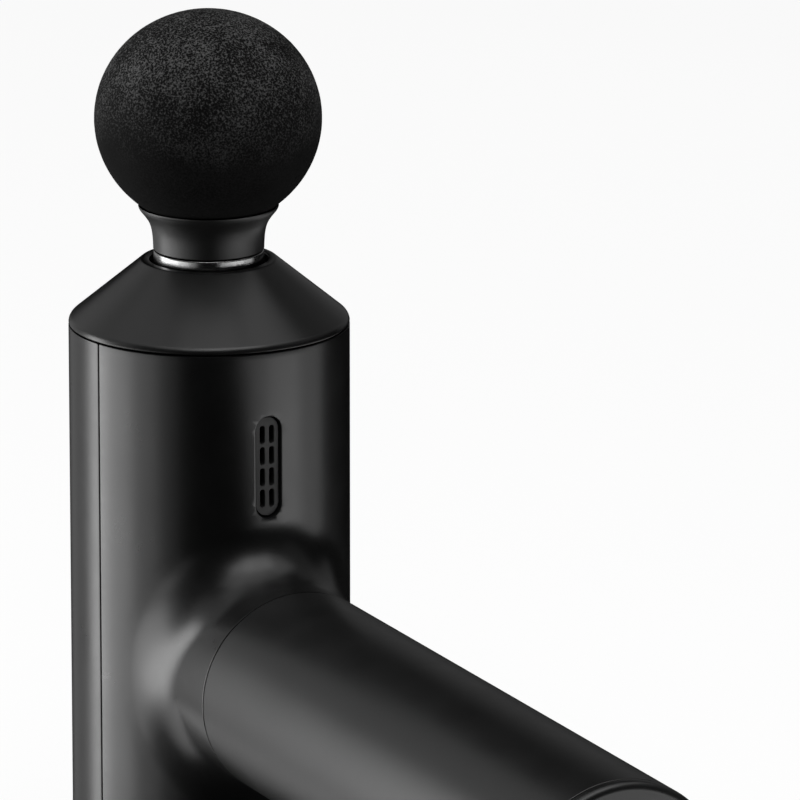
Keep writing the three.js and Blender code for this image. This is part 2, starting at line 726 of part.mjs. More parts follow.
function endCap() {
  const body = turned([
    [0, 193.1],
    [17.3, 193.1],
    [17.3, 187],
    [HANDLE_BORE_R - GAP, 187],
    [HANDLE_BORE_R - GAP, GRIP_END_X + GAP],
    [HANDLE_R, GRIP_END_X + GAP],
    ...arc(HANDLE_R - END_ROUND, HANDLE_END_X - END_ROUND, END_ROUND, END_ROUND, 0, 90, 3),
    [0, HANDLE_END_X],
  ], 36);
  return cut(body, extruded(pill(3.8, 9.6), 190, 200, 6));
}

function chargePort() {
  const outer = extruded(pill(3.2, 9), 188.5, HANDLE_END_X - GAP, 6);
  return cut(outer, extruded(pill(2.5, 8.3), 189.5, 200, 6));
}

function cellHolder(z0, z1) {
  const outline = new THREE.Shape().absarc(0, 0, HANDLE_BORE_R - GAP, 0, 2 * Math.PI, false);
  for (const angle of CELL_ANGLES) {
    const hole = new THREE.Path();
    hole.absarc(CELL_CIRCLE_R * Math.cos(angle), CELL_CIRCLE_R * Math.sin(angle), 6, 0, 2 * Math.PI, false);
    outline.holes.push(hole);
  }
  return extruded(outline, z0, z1, 6);
}

// A three-armed strip that links the ends of three cells.
function contactStrip(z0, z1) {
  const arms = CELL_ANGLES.map((angle) => box(0, CELL_CIRCLE_R + 3, -2.5, 2.5, z0, z1).rotateZ(angle));
  return join(...arms);
}

function batteryCell() {
  return cylinder(CELL_R, 0, CELL_LENGTH, 18);
}

const CELL_ANGLES = [60, 180, 300].map(THREE.MathUtils.degToRad);

part("grip_tube", ring(HANDLE_BORE_R, HANDLE_R, GRIP_START_X, GRIP_END_X, 36), satinHandle, handle);
part("end_cap", endCap(), satinHandle, handle);
part("charge_port", chargePort(), nickel, handle);
part("battery_board", cylinder(18.2, 46, 46 + BOARD_THICK, 28), circuitGreen, handle);
part("cell_holder_front", cellHolder(49.7, 51.7), innerPlastic, handle);
part("cell_holder_middle", cellHolder(117.3, 119), innerPlastic, handle);
part("cell_holder_rear", cellHolder(184.6, 186.6), innerPlastic, handle);
part("contact_strip_front", contactStrip(48.9, 49.3), nickel, handle);
for (const [row, start] of [FRONT_CELLS_X, REAR_CELLS_X].entries()) {
  for (const [i, angle] of CELL_ANGLES.entries()) {
    const mesh = part(`battery_cell_${row * 3 + i + 1}`, batteryCell(), cellWrap, handle);
    mesh.position.set(CELL_CIRCLE_R * Math.cos(angle), CELL_CIRCLE_R * Math.sin(angle), start);
  }
}

// ---- Leads ----

const LEAD_OFFSET = HANDLE_BORE_R - CABLE_R - 0.35; // from the handle's axis, against its bore
const LEAD_Z = HANDLE_Z - Math.sqrt(LEAD_OFFSET ** 2 - LEAD_Y ** 2);

part("battery_lead", cable([
  [45.6, -LEAD_Y, LEAD_Z + 2.5],
  [43, -LEAD_Y, LEAD_Z + 2.5],
  [39.5, -LEAD_Y, LEAD_Z + 0.9],
  [35.5, -LEAD_Y, LEAD_Z],
  [28, -LEAD_Y, LEAD_Z],
  [21, -LEAD_Y, LEAD_Z - 0.1],
  [17.5, -LEAD_Y, LEAD_Z - 4],
  [8, -LEAD_Y, 22],
  [-10, -LEAD_Y, 20.5],
  [-18, -LEAD_Y, 26],
  [-19.6, -LEAD_Y, 26.2],
], 26), rubber);

part("control_lead", cable([
  [-14, 4, CONTROL_BOARD_Z + BOARD_THICK + GAP],
  [-14, 4, 14],
  [-15, 4, 21],
  [-18, 4, 25],
  [-19.6, 4, 25.2],
], 10), rubber);

export default gun;
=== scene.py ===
import json
import logging
import math
from dataclasses import dataclass
from enum import Enum
from typing import Callable, Sequence

import bpy
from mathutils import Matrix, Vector
from mathutils.geometry import delaunay_2d_cdt, interpolate_bezier


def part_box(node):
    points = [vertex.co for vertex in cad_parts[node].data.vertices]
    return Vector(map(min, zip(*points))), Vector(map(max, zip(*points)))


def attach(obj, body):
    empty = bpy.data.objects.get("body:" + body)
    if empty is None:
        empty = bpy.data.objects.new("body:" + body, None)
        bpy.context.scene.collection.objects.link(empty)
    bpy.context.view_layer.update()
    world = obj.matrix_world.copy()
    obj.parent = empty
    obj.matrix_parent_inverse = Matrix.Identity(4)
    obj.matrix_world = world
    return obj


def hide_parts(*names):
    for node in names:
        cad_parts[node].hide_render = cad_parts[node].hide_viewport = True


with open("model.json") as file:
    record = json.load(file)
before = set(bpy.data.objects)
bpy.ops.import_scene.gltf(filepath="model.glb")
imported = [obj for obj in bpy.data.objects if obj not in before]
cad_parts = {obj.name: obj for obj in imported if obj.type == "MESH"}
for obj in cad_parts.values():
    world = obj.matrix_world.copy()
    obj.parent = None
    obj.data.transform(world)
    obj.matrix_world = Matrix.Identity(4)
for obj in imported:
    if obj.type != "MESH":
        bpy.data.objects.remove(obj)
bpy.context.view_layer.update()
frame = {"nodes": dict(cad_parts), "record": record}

Piece, Socket, Material = bpy.types.Object, bpy.types.NodeSocket, bpy.types.Material
Colour = tuple[float, float, float]
LOG = logging.getLogger("massage_gun")
MM = 0.001
MERGE = 2e-6  # vertices closer than this are one vertex
SEAM = 0.15 * MM  # half of the gap between two shells
REACH = 5 * MM  # how far a cutter goes past the face that it cuts


class Slot(Enum):
    """Material slots of the record that new and carried-over pieces take their finish from."""

    FOAM = "foam"
    COLLAR = "collar_plastic"
    RUBBER = "rubber"
    POLISHED = "polished_steel"
    STEEL = "steel"
    CAST = "cast_alloy"
    MAGNET = "magnet_steel"
    BRONZE = "bronze"
    SHELL = "satin_shell"
    HANDLE = "satin_handle"
    INNER = "inner_plastic"
    FROSTED = "frosted"
    BOARD = "circuit_board"
    SLEEVE = "capacitor_sleeve"
    CELL = "cell_can"
    NICKEL = "nickel"
    JACKET = "cable_jacket"


class Body(Enum):
    """Rigid bodies of the frame."""

    HOUSING = "housing"
    SHAFT = "shaft"
    HEAD = "head"
    BUTTON = "button"


@dataclass(frozen=True)
class Layout:
    """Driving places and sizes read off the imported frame, in metres."""

    barrel_radius: float
    tail_seam_z: float
    nose_seam_z: float
    nose_top_z: float
    handle_z: float
    handle_radius: float
    grip_start_x: float
    grip_end_x: float
    handle_end_x: float
    ball_top_z: float
    shaft_top_z: float
    shaft_bottom_z: float
    shaft_radius: float
    adapter_low_z: float
    button_centre_x: float
    button_radius: float

    @classmethod
    def from_frame(cls) -> "Layout":
        """Reads the layout from the CAD nodes' boxes.

        Returns:
            The layout that every sub-assembly is built on.
        """
        nose_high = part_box("nose_cone")[1]
        rear_low, rear_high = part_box("rear_shell")
        grip_low, grip_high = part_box("grip_tube")
        shaft_low, shaft_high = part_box("drive_shaft")
        button_low, button_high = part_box("power_button")
        button_flange = 1.6 * MM
        return cls(
            barrel_radius=nose_high.x,
            tail_seam_z=rear_low.z - SEAM,
            nose_seam_z=rear_high.z + SEAM,
            nose_top_z=nose_high.z,
            handle_z=(grip_low.z + grip_high.z) / 2,
            handle_radius=(grip_high.z - grip_low.z) / 2,
            grip_start_x=grip_low.x,
            grip_end_x=grip_high.x,
            handle_end_x=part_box("end_cap")[1].x,
            ball_top_z=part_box("ball_head")[1].z,
            shaft_top_z=shaft_high.z,
            shaft_bottom_z=shaft_low.z,
            shaft_radius=(shaft_high.y - shaft_low.y) / 2,
            adapter_low_z=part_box("head_adapter")[0].z,
            button_centre_x=(button_low.x + button_high.x) / 2,
            button_radius=(button_high.y - button_low.y) / 2 - button_flange,
        )


# ---- Modelling by hand, in code ----


class Bench:
    """Thin wrappers round the modelling operators, so that each step reads as a hand would do it."""

    @staticmethod
    def clear() -> None:
        """Leaves edit mode and deselects everything."""
        if bpy.context.object and bpy.context.object.mode != "OBJECT":
            Bench.leave()
        bpy.ops.object.select_all(action="DESELECT")

    @staticmethod
    def pick(piece: Piece) -> None:
        """Makes one piece the only selected and active one.

        Args:
            piece: The piece to work on.
        """
        Bench.clear()
        piece.select_set(True)
        bpy.context.view_layer.objects.active = piece

    @staticmethod
    def edit(piece: Piece, kind: str = "VERT") -> None:
        """Enters edit mode on a piece with all of it selected.

        Args:
            piece: The piece to edit.
            kind: VERT, EDGE or FACE.
        """
        Bench.pick(piece)
        bpy.ops.object.mode_set(mode="EDIT")
        bpy.ops.mesh.select_mode(type=kind)
        bpy.ops.mesh.select_all(action="SELECT")

    @staticmethod
    def leave() -> None:
        """Leaves edit mode."""
        bpy.ops.object.mode_set(mode="OBJECT")

    @staticmethod
    def place(piece: Piece, location: Sequence[float] = (0, 0, 0), turn: Sequence[float] = (0, 0, 0)) -> None:
        """Moves and turns a piece, and takes the move into its mesh."""
        piece.location, piece.rotation_euler = location, turn
        Bench.pick(piece)
        bpy.ops.object.transform_apply(location=True, rotation=True)

    @staticmethod
    def copy(piece: Piece, location: Sequence[float]) -> Piece:
        """Copies a piece, with a mesh of its own, to another place."""
        other = piece.copy()
        other.data = piece.data.copy()
        other.location = location
        bpy.context.scene.collection.objects.link(other)
        return other

    @staticmethod
    def weave(
        name: str,
        points: Sequence[Sequence[float]],
        edges: Sequence[Sequence[int]],
        faces: Sequence[Sequence[int]],
    ) -> Piece:
        """Makes a piece of points with the edges and faces between them."""
        mesh = bpy.data.meshes.new(name)
        mesh.from_pydata(points, edges, faces)
        piece = bpy.data.objects.new(name, mesh)
        bpy.context.scene.collection.objects.link(piece)
        return piece

    @staticmethod
    def select_vertices(piece: Piece, wanted: Callable[[Vector], bool]) -> None:
        """Selects the vertices whose place passes a test, in edit mode.

        Args:
            piece: The piece in edit mode.
            wanted: Says of a place whether its vertex is wanted.
        """
        Bench.leave()
        for vertex in piece.data.vertices:
            vertex.select = wanted(vertex.co)
        bpy.ops.object.mode_set(mode="EDIT")

    @staticmethod
    def apply(piece: Piece, kind: str, **settings: object) -> None:
        """Adds a modifier with its settings and applies it.

        Args:
            piece: The piece to modify.
            kind: The modifier's type.
            settings: The modifier's properties.
        """
        Bench.pick(piece)
        modifier = piece.modifiers.new(kind.title(), kind)
        for name, value in settings.items():
            setattr(modifier, name, value)
        bpy.ops.object.modifier_apply(modifier=modifier.name)

    @staticmethod
    def soften(piece: Piece, width: float, angle: float = 35, segments: int = 3) -> None:
        """Rounds the sharp edges of a piece.

        Args:
            piece: The piece to round.
            width: Width of the rounding, in metres.
            angle: Edges that turn by more than this many degrees are rounded.
            segments: Steps across the rounding.
        """
        Bench.apply(
            piece,
            "BEVEL",
            width=width,
            segments=segments,
            limit_method="ANGLE",
            angle_limit=math.radians(angle),
            use_clamp_overlap=False,
        )

    @staticmethod
    def smooth(piece: Piece, angle: float = 40) -> None:
        """Shades a piece smooth, apart from edges sharper than an angle in degrees; large faces lead."""
        Bench.pick(piece)
        bpy.ops.object.shade_smooth_by_angle(angle=math.radians(angle))
        Bench.apply(piece, "WEIGHTED_NORMAL", keep_sharp=True)

    @staticmethod
    def face_out(piece: Piece) -> None:
        """Merges doubled vertices and turns every face of a closed piece outwards."""
        Bench.edit(piece)
        bpy.ops.mesh.remove_doubles(threshold=MERGE)
        bpy.ops.mesh.normals_make_consistent(inside=False)
        Bench.leave()

    @staticmethod
    def join(pieces: Sequence[Piece]) -> None:
        """Joins pieces into the first one.

        Args:
            pieces: The pieces, the one that stays first.
        """
        Bench.pick(pieces[0])
        for piece in pieces[1:]:
            piece.select_set(True)
        bpy.ops.object.join()

    @staticmethod
    def carve(piece: Piece, cutter: Piece) -> None:
        """Cuts one piece with another and removes the cutter."""
        Bench.apply(piece, "BOOLEAN", operation="DIFFERENCE", object=cutter, solver="EXACT")
        bpy.data.objects.remove(cutter)

    @staticmethod
    def unite(piece: Piece, other: Piece) -> None:
        """Fuses another piece into one and removes the other."""
        Bench.apply(piece, "BOOLEAN", operation="UNION", object=other, solver="EXACT")
        bpy.data.objects.remove(other)

    @staticmethod
    def settle(piece: Piece, name: str) -> None:
        """Names a finished piece and takes its place into its mesh, so that its object is at the origin."""
        Bench.pick(piece)
        bpy.ops.object.transform_apply(location=True, rotation=True, scale=True)
        piece.name = name
        piece.data.name = name


@dataclass(frozen=True)
class Station:
    """One point of a turned profile: its radius and its place along the axis, in metres."""

    radius: float
    along: float


def stations(*points: tuple[float, float]) -> list[Station]:
    """Stations from pairs of radius and place along the axis, in millimetres."""
    return [Station(radius * MM, along * MM) for radius, along in points]


def on_circle(radius: float, degrees: float) -> Vector:
    """A place on a circle round the vertical axis, from +X towards +Y."""
    angle = math.radians(degrees)
    return Vector((radius * math.cos(angle), radius * math.sin(angle), 0))


def arc_stations(centre: Station, radius: float, start: float, stop: float, steps: int) -> list[Station]:
    """Stations round an arc of a profile.

    Args:
        centre: The arc's centre.
        radius: The arc's radius, in metres.
        start: First angle in degrees, from outwards towards the axis direction.
        stop: Last angle in degrees.
        steps: Number of steps along the arc.

    Returns:
        The stations, both ends included.
    """
    made = []
    for i in range(steps + 1):
        angle = math.radians(start + (stop - start) * i / steps)
        across, up = radius * math.cos(angle), radius * math.sin(angle)
        made.append(Station(centre.radius + across, centre.along + up))
    return made


class Lathe:
    """Makes round pieces by extruding a circle through the stations of a profile."""

    @staticmethod
    def _step(here: Station, there: Station) -> None:
        """Extrudes the selected loop from one station to the next."""
        bpy.ops.mesh.extrude_edges_move()
        if there.radius > 0:
            ratio = there.radius / here.radius
            bpy.ops.transform.resize(value=(ratio, ratio, 1), center_override=(0, 0, here.along))
        bpy.ops.transform.translate(value=(0, 0, there.along - here.along))
        if there.radius == 0:
            bpy.ops.mesh.merge(type="CENTER")

    @staticmethod
    def turn(profile: Sequence[Station], sides: int = 144, closed: bool = False) -> Piece:
        """Turns a profile about the vertical axis.

        Args:
            profile: The stations in order. A radius of 0 at either end closes that end on the axis.
            sides: Number of sides round the piece.
            closed: Whether the last station joins the first, as on a ring.

        Returns:
            The new piece, still upright.
        """
        path = list(profile) + ([profile[0]] if closed else [])
        first = 1 if path[0].radius == 0 else 0
        Bench.clear()
        bpy.ops.mesh.primitive_circle_add(
            vertices=sides, radius=path[first].radius, location=(0, 0, path[first].along), fill_type="NOTHING"
        )
        piece = bpy.context.object
        bpy.ops.object.transform_apply(location=True)
        Bench.edit(piece, "EDGE")
        if first:
            Lathe._step(path[1], path[0])
            Lathe._select_loop(piece, path[1])
        for here, there in zip(path[first:], path[first + 1:]):
            Lathe._step(here, there)
        Bench.leave()
        Bench.face_out(piece)
        return piece

    @staticmethod
    def rod(radius: float, low: float, high: float, sides: int) -> Piece:
        """Turns a solid rod about the vertical axis.

        Args:
            radius: Its radius.
            low: Height of its lower end.
            high: Height of its upper end.
            sides: Number of sides round it.

        Returns:
            The new piece.
        """
        corners = [Station(0, low), Station(radius, low), Station(radius, high), Station(0, high)]
        return Lathe.turn(corners, sides)

    @staticmethod
    def _select_loop(piece: Piece, station: Station) -> None:
        """Selects the loop of edges at a station, in edit mode."""
        bpy.ops.mesh.select_mode(type="VERT")
        Bench.select_vertices(piece, lambda place: math.hypot(place.x, place.y) > station.radius * 0.5)
        bpy.ops.mesh.select_mode(type="EDGE")

    @staticmethod
    def lay_along_handle(piece: Piece, layout: Layout) -> None:
        """Turns an upright piece to run along the handle.

        Args:
            piece: The piece, made about the vertical axis with its place along the handle as its height.
            layout: The frame's layout.
        """
        Bench.place(piece, (0, 0, layout.handle_z), (0, math.pi / 2, 0))


def smooth_stations(keys: Sequence[Station], steps: int) -> list[Station]:
    """Stations on a smooth curve through key stations.

    Args:
        keys: The stations that the curve passes through.
        steps: Steps between each two keys.

    Returns:
        The stations, both ends included.
    """
    padded = [keys[0], *keys, keys[-1]]
    made = []
    for a, b, c, d in zip(padded, padded[1:], padded[2:], padded[3:]):
        for i in range(steps):
            t = i / steps
            weights = (
                (-t + 2 * t**2 - t**3) / 2,
                (2 - 5 * t**2 + 3 * t**3) / 2,
                (t + 4 * t**2 - 3 * t**3) / 2,
                (-(t**2) + t**3) / 2,
            )
            made.append(
                Station(
                    sum(w * key.radius for w, key in zip(weights, (a, b, c, d))),
                    sum(w * key.along for w, key in zip(weights, (a, b, c, d))),
                )
            )
    return made + [keys[-1]]


class Outline:
    """Makes plates and cutters with straight or curved pill outlines."""

    @staticmethod
    def _half_disc(radius: float, centre: tuple[float, float], sides: int) -> Piece:
        """A half disc on the +Y side of its centre, lying in the XY plane."""
        Bench.clear()
        bpy.ops.mesh.primitive_circle_add(
            vertices=sides, radius=radius, location=(centre[0], centre[1], 0), fill_type="NGON"
        )
        piece = bpy.context.object
        bpy.ops.object.transform_apply(location=True)
        Bench.edit(piece)
        bpy.ops.mesh.bisect(plane_co=(0, centre[1], 0), plane_no=(0, 1, 0), clear_inner=True)
        return piece

    @staticmethod
    def _straight_side(piece: Piece, level: float) -> None:
        """Selects the edge along the straight side of a half disc, in edit mode."""
        bpy.ops.mesh.select_mode(type="VERT")
        Bench.select_vertices(piece, lambda place: abs(place.y - level) < MERGE)
        bpy.ops.mesh.select_mode(type="EDGE")

    @staticmethod
    def _thicken(piece: Piece, low: float, high: float) -> Piece:
        """Makes one face of a flat outline, extrudes it from one height to another, and gives it back."""
        Bench.edit(piece, "FACE")
        bpy.ops.mesh.remove_doubles(threshold=MERGE)
        bpy.ops.mesh.dissolve_limited(angle_limit=math.radians(0.5))
        bpy.ops.mesh.select_all(action="SELECT")
        bpy.ops.mesh.extrude_region_move(TRANSFORM_OT_translate={"value": (0, 0, high - low)})
        bpy.ops.mesh.select_all(action="SELECT")
        bpy.ops.transform.translate(value=(0, 0, low))
        Bench.leave()
        Bench.face_out(piece)
        return piece

    @staticmethod
    def pill(width: float, length: float, low: float, high: float, sides: int = 48) -> Piece:
        """An upright prism with a pill outline that is longest along Y.

        Args:
            width: Width along X.
            length: Length along Y, round ends included.
            low: Height of its lower face.
            high: Height of its upper face.
            sides: Sides of the two round ends together.

        Returns:
            The new piece.
        """
        straight = (length - width) / 2
        piece = Outline._half_disc(width / 2, (0, straight), sides)
        Outline._straight_side(piece, straight)
        bpy.ops.mesh.extrude_edges_move(TRANSFORM_OT_translate={"value": (0, -straight, 0)})
        Bench.leave()
        Bench.apply(piece, "MIRROR", use_axis=(False, True, False), merge_threshold=MERGE)
        return Outline._thicken(piece, low, high)

    @staticmethod
    def bent_pill(half_width: float, bend_radius: float, half_angle: float, low: float, high: float) -> Piece:
        """An upright prism with a pill outline that is bent round the vertical axis, its middle on +X.

        Args:
            half_width: Half of its width.
            bend_radius: Radius of its centre line.
            half_angle: Angle from its middle to the centre of either round end, in degrees.
            low: Height of its lower face.
            high: Height of its upper face.

        Returns:
            The new piece.
        """
        piece = Outline._half_disc(half_width, (bend_radius, 0), 32)
        Outline._straight_side(piece, 0)
        bpy.ops.mesh.spin(steps=20, angle=math.radians(half_angle), center=(0, 0, 0), axis=(0, 0, 1))
        Bench.leave()
        Bench.place(piece, turn=(0, 0, math.radians(half_angle)))
        Bench.apply(piece, "MIRROR", use_axis=(False, True, False), merge_threshold=MERGE)
        return Outline._thicken(piece, low, high)

    @staticmethod
    def stand_facing_front(piece: Piece, height: float) -> None:
        """Turns an upright prism to face along +X, its Y upwards, centred at a height."""
        Bench.place(piece, (0, 0, height), (math.pi / 2, 0, math.pi / 2))


# ---- Finishes ----


class NodeBoard:
    """A material under construction, with short names for the nodes that the finishes share."""

    def __init__(self, name: str) -> None:
        """Starts a material with a plain shader.

        Args:
            name: The material's name.
        """
        self.material = bpy.data.materials.new(name)
        self.material.use_nodes = True
        self.tree = self.material.node_tree
        self.shader = self.tree.nodes["Principled BSDF"]
        self.place = self.tree.nodes.new("ShaderNodeTexCoord").outputs["Object"]

    def _node(self, kind: str, inputs: dict[str | int, object], **settings: object) -> bpy.types.Node:
        """Adds a node, links or sets its inputs and sets its properties."""
        node = self.tree.nodes.new(kind)
        for name, value in settings.items():
            setattr(node, name, value)
        for name, value in inputs.items():
            if isinstance(value, Socket):
                self.tree.links.new(value, node.inputs[name])
            else:
                node.inputs[name].default_value = value
        return node

    def fix(self, **values: float | Colour) -> None:
        """Sets sockets of the shader that are the same all over, named with underscores for spaces."""
        for name, value in values.items():
            self.shader.inputs[name.replace("_", " ")].default_value = value

    def stretched(self, factors: Colour) -> Socket:
        """Object coordinates scaled by a factor along each axis."""
        return self._node("ShaderNodeMapping", {"Vector": self.place, "Scale": factors}).outputs["Vector"]

    def noise(
        self, size: float, detail: float = 2.0, place: Socket | None = None, rough: float = 0.5
    ) -> Socket:
        """Soft noise.

        Args:
            size: Size of its largest blobs, in metres.
            detail: Number of finer layers.
            place: Coordinates, if not the object's own.
            rough: Strength of the finer layers.

        Returns:
            A factor round 0.5.
        """
        inputs = {"Vector": place or self.place, "Scale": 1 / size, "Detail": detail, "Roughness": rough}
        return self._node("ShaderNodeTexNoise", inputs).outputs["Fac"]

    def cells(self, size: float, feature: str = "F1") -> Socket:
        """Distance to the nearest of randomly strewn points, about 0 to 1.

        Args:
            size: Spacing of the points, in metres.
            feature: F1, SMOOTH_F1 or DISTANCE_TO_EDGE.

        Returns:
            The distance, in cells.
        """
        node = self._node("ShaderNodeTexVoronoi", {"Vector": self.place, "Scale": 1 / size}, feature=feature)
        return node.outputs["Distance"]

    def lines(self, size: float, axis: str) -> Socket:
        """Parallel lines, as left by a lathe or a grinding belt.

        Args:
            size: Spacing of the lines, in metres.
            axis: X, Y or Z, the direction across the lines.

        Returns:
            A factor from 0 to 1.
        """
        inputs = {"Vector": self.place, "Scale": 0.314 / size, "Distortion": 0.4, "Detail": 3.0}
        node = self._node("ShaderNodeTexWave", inputs, wave_type="BANDS", bands_direction=axis)
        return node.outputs["Fac"]

    def spread(
        self, source: Socket, low: float, high: float, start: float = 0.3, stop: float = 0.7
    ) -> Socket:
        """Maps a factor to a range of values.

        Args:
            source: The factor.
            low: Value where the factor is at its start.
            high: Value where the factor is at its stop.
            start: Factor that gives the low value.
            stop: Factor that gives the high value.

        Returns:
            The mapped value.
        """
        inputs = {"Value": source, "From Min": start, "From Max": stop, "To Min": low, "To Max": high}
        return self._node("ShaderNodeMapRange", inputs).outputs["Result"]

    def tint(
        self, source: Socket, first: Colour, second: Colour, start: float = 0.3, stop: float = 0.7
    ) -> Socket:
        """Blends two colours by a factor.

        Args:
            source: The factor.
            first: Colour where the factor is at its start or below.
            second: Colour where the factor is at its stop or above.
            start: Factor that gives the first colour.
            stop: Factor that gives the second colour.

        Returns:
            The blended colour.
        """
        node = self._node("ShaderNodeValToRGB", {"Fac": source})
        ramp = node.color_ramp.elements
        ramp[0].position, ramp[1].position = start, stop
        ramp[0].color, ramp[1].color = (*first, 1), (*second, 1)
        return node.outputs["Color"]

    def sum(self, first: Socket, second: Socket, share: float) -> Socket:
        """Adds a share of a second factor to a first."""
        inputs = {0: second, 1: share, 2: first}
        return self._node("ShaderNodeMath", inputs, operation="MULTIPLY_ADD").outputs[0]

    def height(self) -> Socket:
        """Height above the tail, in metres."""
        return self._node("ShaderNodeSeparateXYZ", {"Vector": self.place}).outputs["Z"]

    def mix(self, share: Socket, first: Socket, second: Socket) -> Socket:
        """Blends two colour patterns by a share of the second."""
        return self._node("ShaderNodeMix", {0: share, 6: first, 7: second}, data_type="RGBA").outputs[2]

    def finish(self, colour: Socket, roughness: Socket, height: Socket, depth: float) -> Material:
        """Joins the patterns to the shader.

        Args:
            colour: Pattern of the base colour.
            roughness: Pattern of the roughness.
            height: Height pattern that the shading follows, about 0 to 1.
            depth: Depth of that pattern, in metres.

        Returns:
            The finished material.
        """
        bump = self._node("ShaderNodeBump", {"Height": height, "Distance": depth, "Strength": 1.0})
        sources = (("Base Color", colour), ("Roughness", roughness), ("Normal", bump.outputs["Normal"]))
        for socket, source in sources:
            self.tree.links.new(source, self.shader.inputs[socket])
        return self.material


@dataclass(frozen=True)
class Finish:
    """What the finishes share: a name and two tones that a pattern blends."""

    name: str
    dark: Colour
    light: Colour


@dataclass(frozen=True)
class SatinCoat(Finish):
    """Soft-touch coat over moulded plastic: a fine, even grain and a slightly uneven sheen."""

    smoothest: float
    roughest: float
    patch: float = 11 * MM
    smear: float = 1.6 * MM
    grain: float = 0.32 * MM
    depth: float = 0.0045 * MM

    def material(self) -> Material:
        """Builds the coat and returns its material."""
        board = NodeBoard(self.name)
        mottle = board.noise(self.patch, 3.0)
        colour = board.tint(mottle, self.dark, self.light)
        uneven = board.sum(mottle, board.noise(self.smear, 2.0), 0.35)
        roughness = board.spread(uneven, self.smoothest, self.roughest, 0.4, 0.95)
        return board.finish(colour, roughness, board.noise(self.grain, 1.0), self.depth)


@dataclass(frozen=True)
class GrainyFoam:
    """Closed-cell foam skin: matt, near black, with fine grain, and a painted highlight that makes the crown
    paler.
    """

    name: str
    base: Colour
    tips: Colour
    # The next four fields are the painted highlight on the crown: its two colours, and the heights where it
    # starts and where it is full.
    crown_highlight_base: Colour
    crown_highlight_tips: Colour
    crown_highlight_from: float
    crown_highlight_to: float
    cell: float = 0.34 * MM
    patch: float = 9 * MM
    patch_lift: float = 8 * MM
    depth: float = 0.05 * MM

    def material(self) -> Material:
        """Builds the foam and returns its material."""
        board = NodeBoard(self.name)
        grain = board.sum(board.noise(self.cell, 3.0, rough=0.65), board.cells(self.cell * 1.5), 0.35)
        patch = board.noise(self.patch, 2.0)
        speck = board.sum(grain, patch, 0.25)
        # Speck colours without the painted highlight.
        bare_speck = board.tint(speck, self.base, self.tips, 0.62, 1.05)
        # Much paler speck colours: the painted highlight of the crown.
        crown_highlight = board.tint(speck, self.crown_highlight_base, self.crown_highlight_tips, 0.76, 1.02)
        # Height mask of the painted highlight, with its edge made uneven by the patch noise.
        lifted = board.sum(board.height(), patch, self.patch_lift)
        crown_highlight_share = board.spread(lifted, 0.0, 1.0, self.crown_highlight_from, self.crown_highlight_to)
        board.fix(Specular_IOR_Level=0.06)
        roughness = board.spread(grain, 0.75, 0.95, 0.5, 0.9)
        # Blends in the painted highlight towards the top of the ball.
        return board.finish(board.mix(crown_highlight_share, bare_speck, crown_highlight), roughness, grain, self.depth)


@dataclass(frozen=True)
class MouldedPlastic(Finish):
    """Uncoated moulded plastic, from matt to semi-gloss by its roughness."""

    smoothest: float
    roughest: float
    grain: float = 0.45 * MM
    depth: float = 0.003 * MM
    flow: float = 6 * MM

    def material(self) -> Material:
        """Builds the plastic and returns its material."""
        board = NodeBoard(self.name)
        flow = board.noise(self.flow, 3.0, board.stretched((1.0, 1.0, 0.35)))
        colour = board.tint(flow, self.dark, self.light)
        roughness = board.spread(flow, self.smoothest, self.roughest)
        return board.finish(colour, roughness, board.noise(self.grain, 2.0), self.depth)


@dataclass(frozen=True)
class WorkedMetal(Finish):
    """Metal with the marks of its making: turning or grinding lines, or the grain of a casting."""

    smoothest: float
    roughest: float
    lines_across: str = ""
    mark: float = 0.18 * MM
    depth: float = 0.0025 * MM
    cloud: float = 4 * MM

    def material(self) -> Material:
        """Builds the metal and returns its material."""
        board = NodeBoard(self.name)
        board.fix(Metallic=1.0)
        cloud = board.noise(self.cloud, 3.0)
        if self.lines_across:
            marks = board.lines(self.mark, self.lines_across)
        else:
            marks = board.noise(self.mark * 3, 4.0)
        colour = board.tint(cloud, self.dark, self.light)
        roughness = board.spread(board.sum(cloud, marks, 0.3), self.smoothest, self.roughest, 0.35, 0.95)
        return board.finish(colour, roughness, marks, self.depth)


@dataclass(frozen=True)
class CircuitLacquer:
    """Green solder mask over faint copper tracks."""

    name: str
    field: Colour
    track: Colour
    spacing: float = 3.5 * MM
    depth: float = 0.03 * MM

    def material(self) -> Material:
        """Builds the lacquer and returns its material."""
        board = NodeBoard(self.name)
        tracks = board.cells(self.spacing, "DISTANCE_TO_EDGE")
        colour = board.tint(tracks, self.track, self.field, 0.04, 0.07)
        roughness = board.spread(board.noise(2 * MM), 0.3, 0.45)
        return board.finish(colour, roughness, board.spread(tracks, 1.0, 0.0, 0.04, 0.07), self.depth)


@dataclass(frozen=True)
class FrostedDiffuser:
    """Milky plastic that spreads the light of the lamps behind it."""

    name: str
    pale: Colour
    paler: Colour

    def material(self) -> Material:
        """Builds the diffuser and returns its material."""
        board = NodeBoard(self.name)
        board.fix(Subsurface_Weight=0.35, Subsurface_Scale=2 * MM)
        colour = board.tint(board.noise(3 * MM), self.pale, self.paler)
        roughness = board.spread(board.noise(1.2 * MM), 0.4, 0.55)
        return board.finish(colour, roughness, board.noise(0.3 * MM), 0.004 * MM)


def grey(level: float, warmth: float = 0.0) -> Colour:
    """A near-neutral colour of a linear level, bluer where the warmth is below 0."""
    return (level * (1 + warmth), level, level * (1 - warmth))


